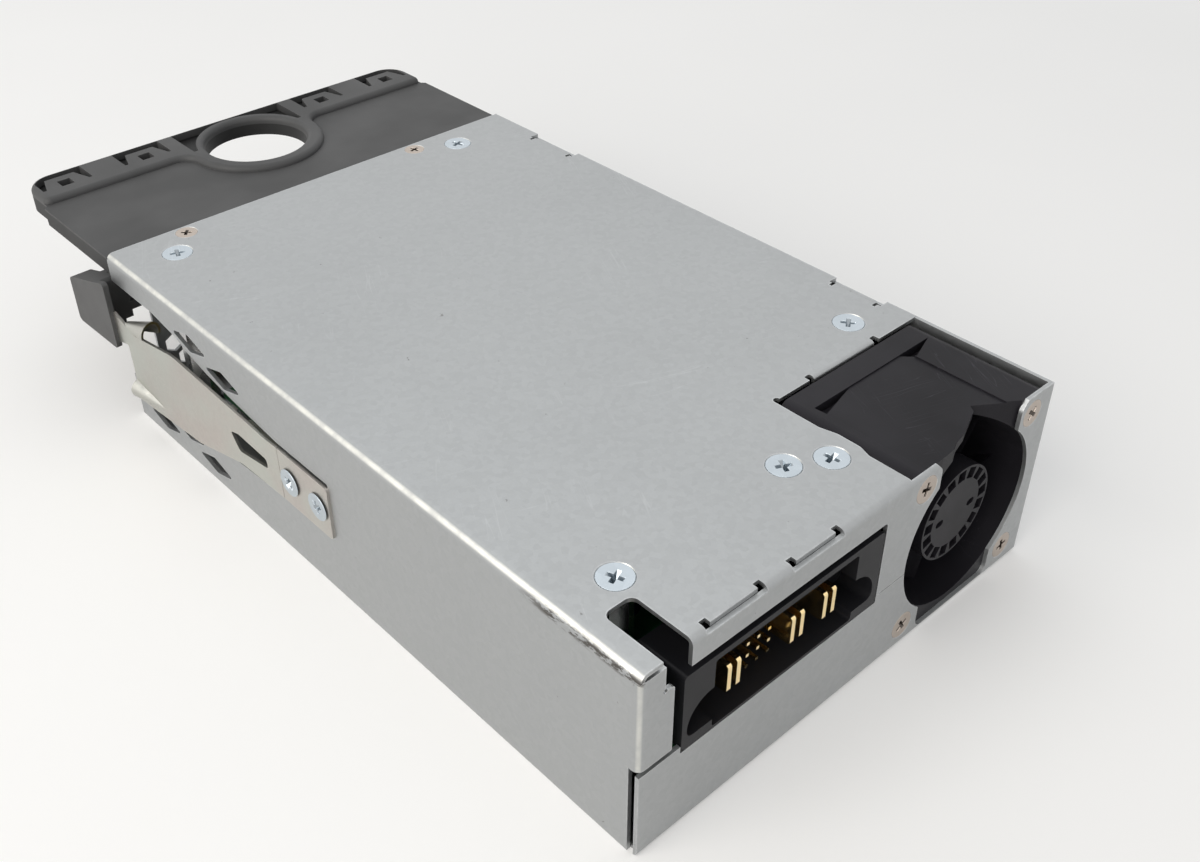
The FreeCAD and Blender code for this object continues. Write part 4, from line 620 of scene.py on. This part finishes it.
def moulding(name, colour, roughness, grain=0.10, mottle=0.12, gloss=0.5, scratch=0.0,
             painted_shade_below=None):
    """A moulded plastic: sparked grain as bump, flow mottle in the colour, edges paler from use and as a
    painted highlight. Below the height `painted_shade_below`, in metres, the colour is darkened as painted
    shade."""
    material, tree = new_material(name)
    where = put(tree, "TexCoord").outputs["Object"]
    moulded = place_group(tree, moulded_grain, {"Vector": where, "Size": 2600.0})
    edge_mask = place_group(tree, edge_wear_and_highlight, {"Vector": where, "Radius": 0.5 * MM})["Mask"]
    spread = remap(tree, moulded["Mottle"], 0.35, 0.65)
    base = mix(tree, spread, shade_of(colour, 1.0 - mottle), shade_of(colour, 1.0 + mottle))
    # edges paler from use and as a painted highlight
    base = mix(tree, times(tree, edge_mask, PALE_EDGE_SHARE), base, shade_of(colour, PALE_EDGE_FACTOR))
    if scratch:
        lines = place_group(tree, hairline_scratches, {"Vector": where, "Density": 1.6})["Mask"]
        base = mix(tree, times(tree, lines, scratch), base, shade_of(colour, LINE_PALER))
    # painted shade: below the given height the colour is darkened
    if painted_shade_below is not None:
        height = put(tree, "SeparateXYZ", {0: where}).outputs["Z"]
        unshaded = remap(tree, height, painted_shade_below - 0.1 * MM, painted_shade_below + 0.1 * MM)
        base = mix(tree, unshaded, shade_of(colour, PAINTED_SHADE), base)
    rough = remap(tree, moulded["Mottle"], 0.35, 0.65, roughness + FLOW_SWING, roughness - FLOW_SWING)
    relief = put(tree, "Bump", {"Height": moulded["Height"], "Strength": grain, "Distance": 0.1 * MM})
    skin = put(tree, "BsdfPrincipled", {"Base Color": base, "Roughness": rough,
                                        "Specular IOR Level": gloss, "Normal": relief.outputs[0]})
    put(tree, "OutputMaterial", {"Surface": skin.outputs[0]})
    return material


print("moulding ready")

# %% [markdown]
# ### Handle, tab, fan and connector
# These are the black mouldings that show. The handle and the latch tab are a dark grey, which on the
# handle stands partly for its sheen; the fan is a smoother, blacker plastic with fine scratches. The
# floors of the handle's grip pockets and its underside are darkened as painted shade.

# %% outer mouldings
PAINTED_SHADE_DEPTH = 1.8 * MM  # this far below the handle's top lie its pockets' floors and its underside, which get painted shade
handle_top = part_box("handle")[1][2]
dress(moulding("handle_plastic", (0.067, 0.067, 0.067), 0.55, gloss=0.35,
               painted_shade_below=handle_top - PAINTED_SHADE_DEPTH), "handle")
dress(moulding("tab_plastic", (0.074, 0.074, 0.074), 0.55, gloss=0.4), "latch_tab")
dress(moulding("fan_plastic", (0.016, 0.015, 0.018), 0.40, mottle=0.25, gloss=0.14, scratch=0.5),
      "fan_frame", "fan_rotor")
dress(moulding("connector_plastic", (0.013, 0.013, 0.015), 0.42, gloss=0.2), "connector_housing")

# %% [markdown]
# ### Inside the case
# The board is green laminate, the capacitors wear shrunk sleeves and the transformer is wound with
# yellow tape. Sintered ferrite gets a deeper grain; laminate, sleeves and film are nearly smooth.

# %% inner parts
dress(moulding("component_black", (0.025, 0.025, 0.025), 0.45), "power_transistors", "ac_inlet")
dress(moulding("board_laminate", (0.03, 0.16, 0.06), 0.30, grain=0.02), "connector_board", "main_board")
dress(moulding("clear_sheet", (0.75, 0.73, 0.66), 0.30, grain=0.02), "insulating_sheet")
dress(moulding("winding_tape", (0.70, 0.55, 0.12), 0.40, grain=0.03), "transformer_winding")
dress(moulding("capacitor_sleeve", (0.02, 0.03, 0.08), 0.25, grain=0.02), "bulk_capacitors",
      "output_capacitors")
dress(moulding("film_capacitor", (0.55, 0.40, 0.05), 0.28, grain=0.02), "x_capacitor")
dress(moulding("ferrite", (0.05, 0.05, 0.05), 0.60, grain=0.2), "transformer_core")
dress(moulding("magnet", (0.06, 0.06, 0.065), 0.65, grain=0.2), "fan_magnet")
dress(moulding("led_lens", (0.15, 0.55, 0.18), 0.12, grain=0.0), "status_led")

# %% [markdown]
# ## Screws
# Each screw is plated steel with a cross recess, and what the eye catches is the recess: four bright
# and dark walls that run down to a point. A boolean cut would leave a ragged fan of triangles there,
# so the whole screw is one surface instead, angle by path. The path runs out over the face to the rim,
# under the head and down the shank, and the recess is only a height on the face. The rim is a hair
# smaller than its seat, which leaves the thin dark joint round the head.

# %% one screw as a surface
TURNS = 96  # points round the screw
WALL_SLOPE = 3.0  # how steeply the walls of the recess fall


def screw_surface(head, depth, shank, length, reach, arm, fall, dome=0.0, teeth=0):
    """A screw with its face at z = 0 and its shank down -z, in mm.
    Face: z = dome * (1 - (r / head)^2) minus the recess.  The recess is the smaller of a wall,
    WALL_SLOPE * (arm - distance to the nearer axis of the cross), and a floor that runs from `fall`
    at the middle to nothing at `reach` along that axis; where either is negative the face is whole.
    Rim, cone and shank: circles of the listed radius and height.  Teeth nick the rim's radius.
    Gives back the points, ring by ring and then the two poles, how sunk each is, and how many rings."""
    angle, round_trip = 2 * np.pi * np.arange(TURNS) / TURNS, np.ones(TURNS)[None, :]
    lip = reach * 1.12
    inner = np.linspace(0.0, lip, 22)[1:]
    outer = np.linspace(lip, head - 0.12, 5)[1:]
    radius = np.concatenate([inner, outer])[:, None] * round_trip
    x, y = radius * np.cos(angle), radius * np.sin(angle)
    across, along = np.minimum(abs(x), abs(y)), np.maximum(abs(x), abs(y))
    recess = np.minimum(WALL_SLOPE * (arm - across), fall * (1.0 - along / reach)).clip(0.0, None)
    height = dome * (1.0 - (radius / head) ** 2) - recess
    rings = np.array([(head - 0.03, -0.05), (head, -0.14), (shank, -depth), (shank, -length + 0.4),
                      (shank - 0.4, -length)])
    ring_r, ring_z = rings[:, :1] * round_trip, rings[:, 1:] * round_trip
    ring_r[:2] *= 1.0 - 0.02 * (np.cos(teeth * angle) > 0.3) * (teeth > 0)
    r, z = np.concatenate([radius, ring_r]), np.concatenate([height, ring_z])
    grid = np.stack([r * np.cos(angle), r * np.sin(angle), z], -1).reshape(-1, 3)
    poles = np.array([[0.0, 0.0, dome - min(fall, WALL_SLOPE * arm)], [0.0, 0.0, -length]])
    sunk = np.concatenate([recess.ravel(), np.zeros(ring_r.size), [1.0, 0.0]])
    return np.concatenate([grid, poles]), np.clip(sunk * 6.0, 0.0, 1.0), r.shape[0]


print("a screw has", TURNS, "points round it")

# %% [markdown]
# ### Faces between the rings
# A grid that closes on itself needs no seam: the step after the last point of a ring is its first
# point. The two ends close in a fan round one point each, because a ring shrunk to nothing would leave
# faces without area.

# %% the faces between the rings
def screw_faces(rows):
    """Quads between neighbouring rings, and a fan of triangles at each pole, all facing outwards."""
    row, step = np.arange(rows - 1)[:, None] * TURNS, np.arange(TURNS)[None, :]
    ahead = (step + 1) % TURNS
    quads = np.stack([row + step, row + TURNS + step, row + TURNS + ahead, row + ahead], -1)
    last, pole = (rows - 1) * TURNS, rows * TURNS
    step, ahead = step[0], ahead[0]
    start = np.stack([np.full(TURNS, pole), step, ahead], -1)
    end = np.stack([last + step, np.full(TURNS, pole + 1), last + ahead], -1)
    return quads.reshape(-1, 4), np.concatenate([start, end])


print("faces ready")

# %% [markdown]
# ### Sets of screws
# Every screw of a set has the same form and differs only in its place and in the turn of its cross,
# which no one lines up at assembly. One mesh holds the whole set, because it stands for one node of the
# CAD model.

# %% copies of one screw
FACING = {"up": Euler((0, 0, 0)), "front": Euler((math.pi / 2, 0, 0)), "left": Euler((0, -math.pi / 2, 0))}
PLATING = {"zinc_screw": zinc_plate, "nickel_screw": nickel_plate}
corner = np.array(cover_low) / MM  # the case's left wall, inner end and bottom


def make_screws(name, places, facing, slot, **shape):
    """Copies of one screw in one mesh: `places` are mm from the case's left wall, inner end and bottom,
    each followed by the turn of its cross in degrees."""
    points, sunk, rows = screw_surface(**shape)
    quads, triangles = screw_faces(rows)
    moved = []
    for x, y, z, turn in places:
        spin = Euler((0, 0, math.radians(turn))).to_matrix()
        matrix = np.array(FACING[facing].to_matrix() @ spin)
        moved.append(points @ matrix.T + np.array([x, y, z]) + corner)
    shift = (np.arange(len(places)) * len(points))[:, None, None]
    faces = (quads + shift).reshape(-1, 4).tolist() + (triangles + shift).reshape(-1, 3).tolist()
    mesh = bpy.data.meshes.new(name)
    mesh.from_pydata((np.concatenate(moved) * MM).tolist(), [], faces)
    mesh.attributes.new("recess", "FLOAT", "POINT").data.foreach_set("value", np.tile(sunk, len(places)))
    mesh.materials.append(PLATING[slot])
    piece = add_object(name, mesh)
    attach(piece, "housing")
    print(name, len(places), "screws,", len(faces), "faces")
    return piece


print("corner of the case at", corner.round(2))

# %% [markdown]
# ### Cover and handle
# Six flat screws with a toothed rim hold the cover to its posts, and two small ones hold the handle's
# root under the cover's outer edge. All eight lie flush with the top, so their faces are at its height.

# %% screws in the top
top = (cover_high[2] - cover_low[2]) / MM
cover_places = [(11.5, 17.3, top, 20), (50.7, 17.6, top, 62), (58.3, 13.5, top, 8), (93.8, 38.3, top, 35),
                (11.5, 151.1, top, 70), (87.7, 153.4, top, 15)]
cover_screws = make_screws("cover_screw_set", cover_places, "up", "zinc_screw", head=3.17, depth=1.75,
                           shank=1.45, length=8.9, reach=1.6, arm=0.46, fall=1.5, teeth=40)
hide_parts("cover_screws")
handle_places = [(17.3, 157.8, top, 50), (78.0, 157.8, top, 12)]
handle_screws = make_screws("handle_screw_set", handle_places, "up", "nickel_screw", head=2.33, depth=1.15,
                            shank=1.15, length=4.3, reach=1.25, arm=0.36, fall=1.0)
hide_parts("handle_screws")

# %% [markdown]
# ### Fan
# A 40 mm fan is held at the corners of a 32 mm square, so its four screws are placed round the middle
# of its frame, facing out of the inner end.

# %% screws of the fan
FAN_PITCH = 32.0
fan_low, fan_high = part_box("fan_frame")
fan_middle = ((fan_low + fan_high) / 2 - cover_low) / MM
fan_places = [(fan_middle.x + a * FAN_PITCH / 2, 0.0, fan_middle.z + b * FAN_PITCH / 2, turn)
              for a, b, turn in ((-1, -1, 30), (-1, 1, 75), (1, -1, 10), (1, 1, 52))]
fan_screws = make_screws("fan_screw_set", fan_places, "front", "nickel_screw", head=2.78, depth=1.25,
                         shank=1.0, length=9.9, reach=1.5, arm=0.42, fall=1.3)
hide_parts("fan_screws")

# %% [markdown]
# ### Latch
# Two broad screws with slightly domed heads clamp the spring leaf to the wall. Their heads stand out
# from the leaf by their own thickness, so they are measured from its outer face.

# %% screws of the latch
HEAD_STANDS = 0.45
latch_x = (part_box("latch_root")[0][0] - cover_low[0]) / MM - HEAD_STANDS
latch_places = [(latch_x, 83.9, 20.2, 25), (latch_x, 93.4, 20.2, 60)]
latch_screws = make_screws("latch_screw_set", latch_places, "left", "zinc_screw", head=2.9, depth=0.42,
                           shank=1.45, length=3.7, reach=1.5, arm=0.5, fall=1.1, dome=0.05)
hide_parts("latch_screws")
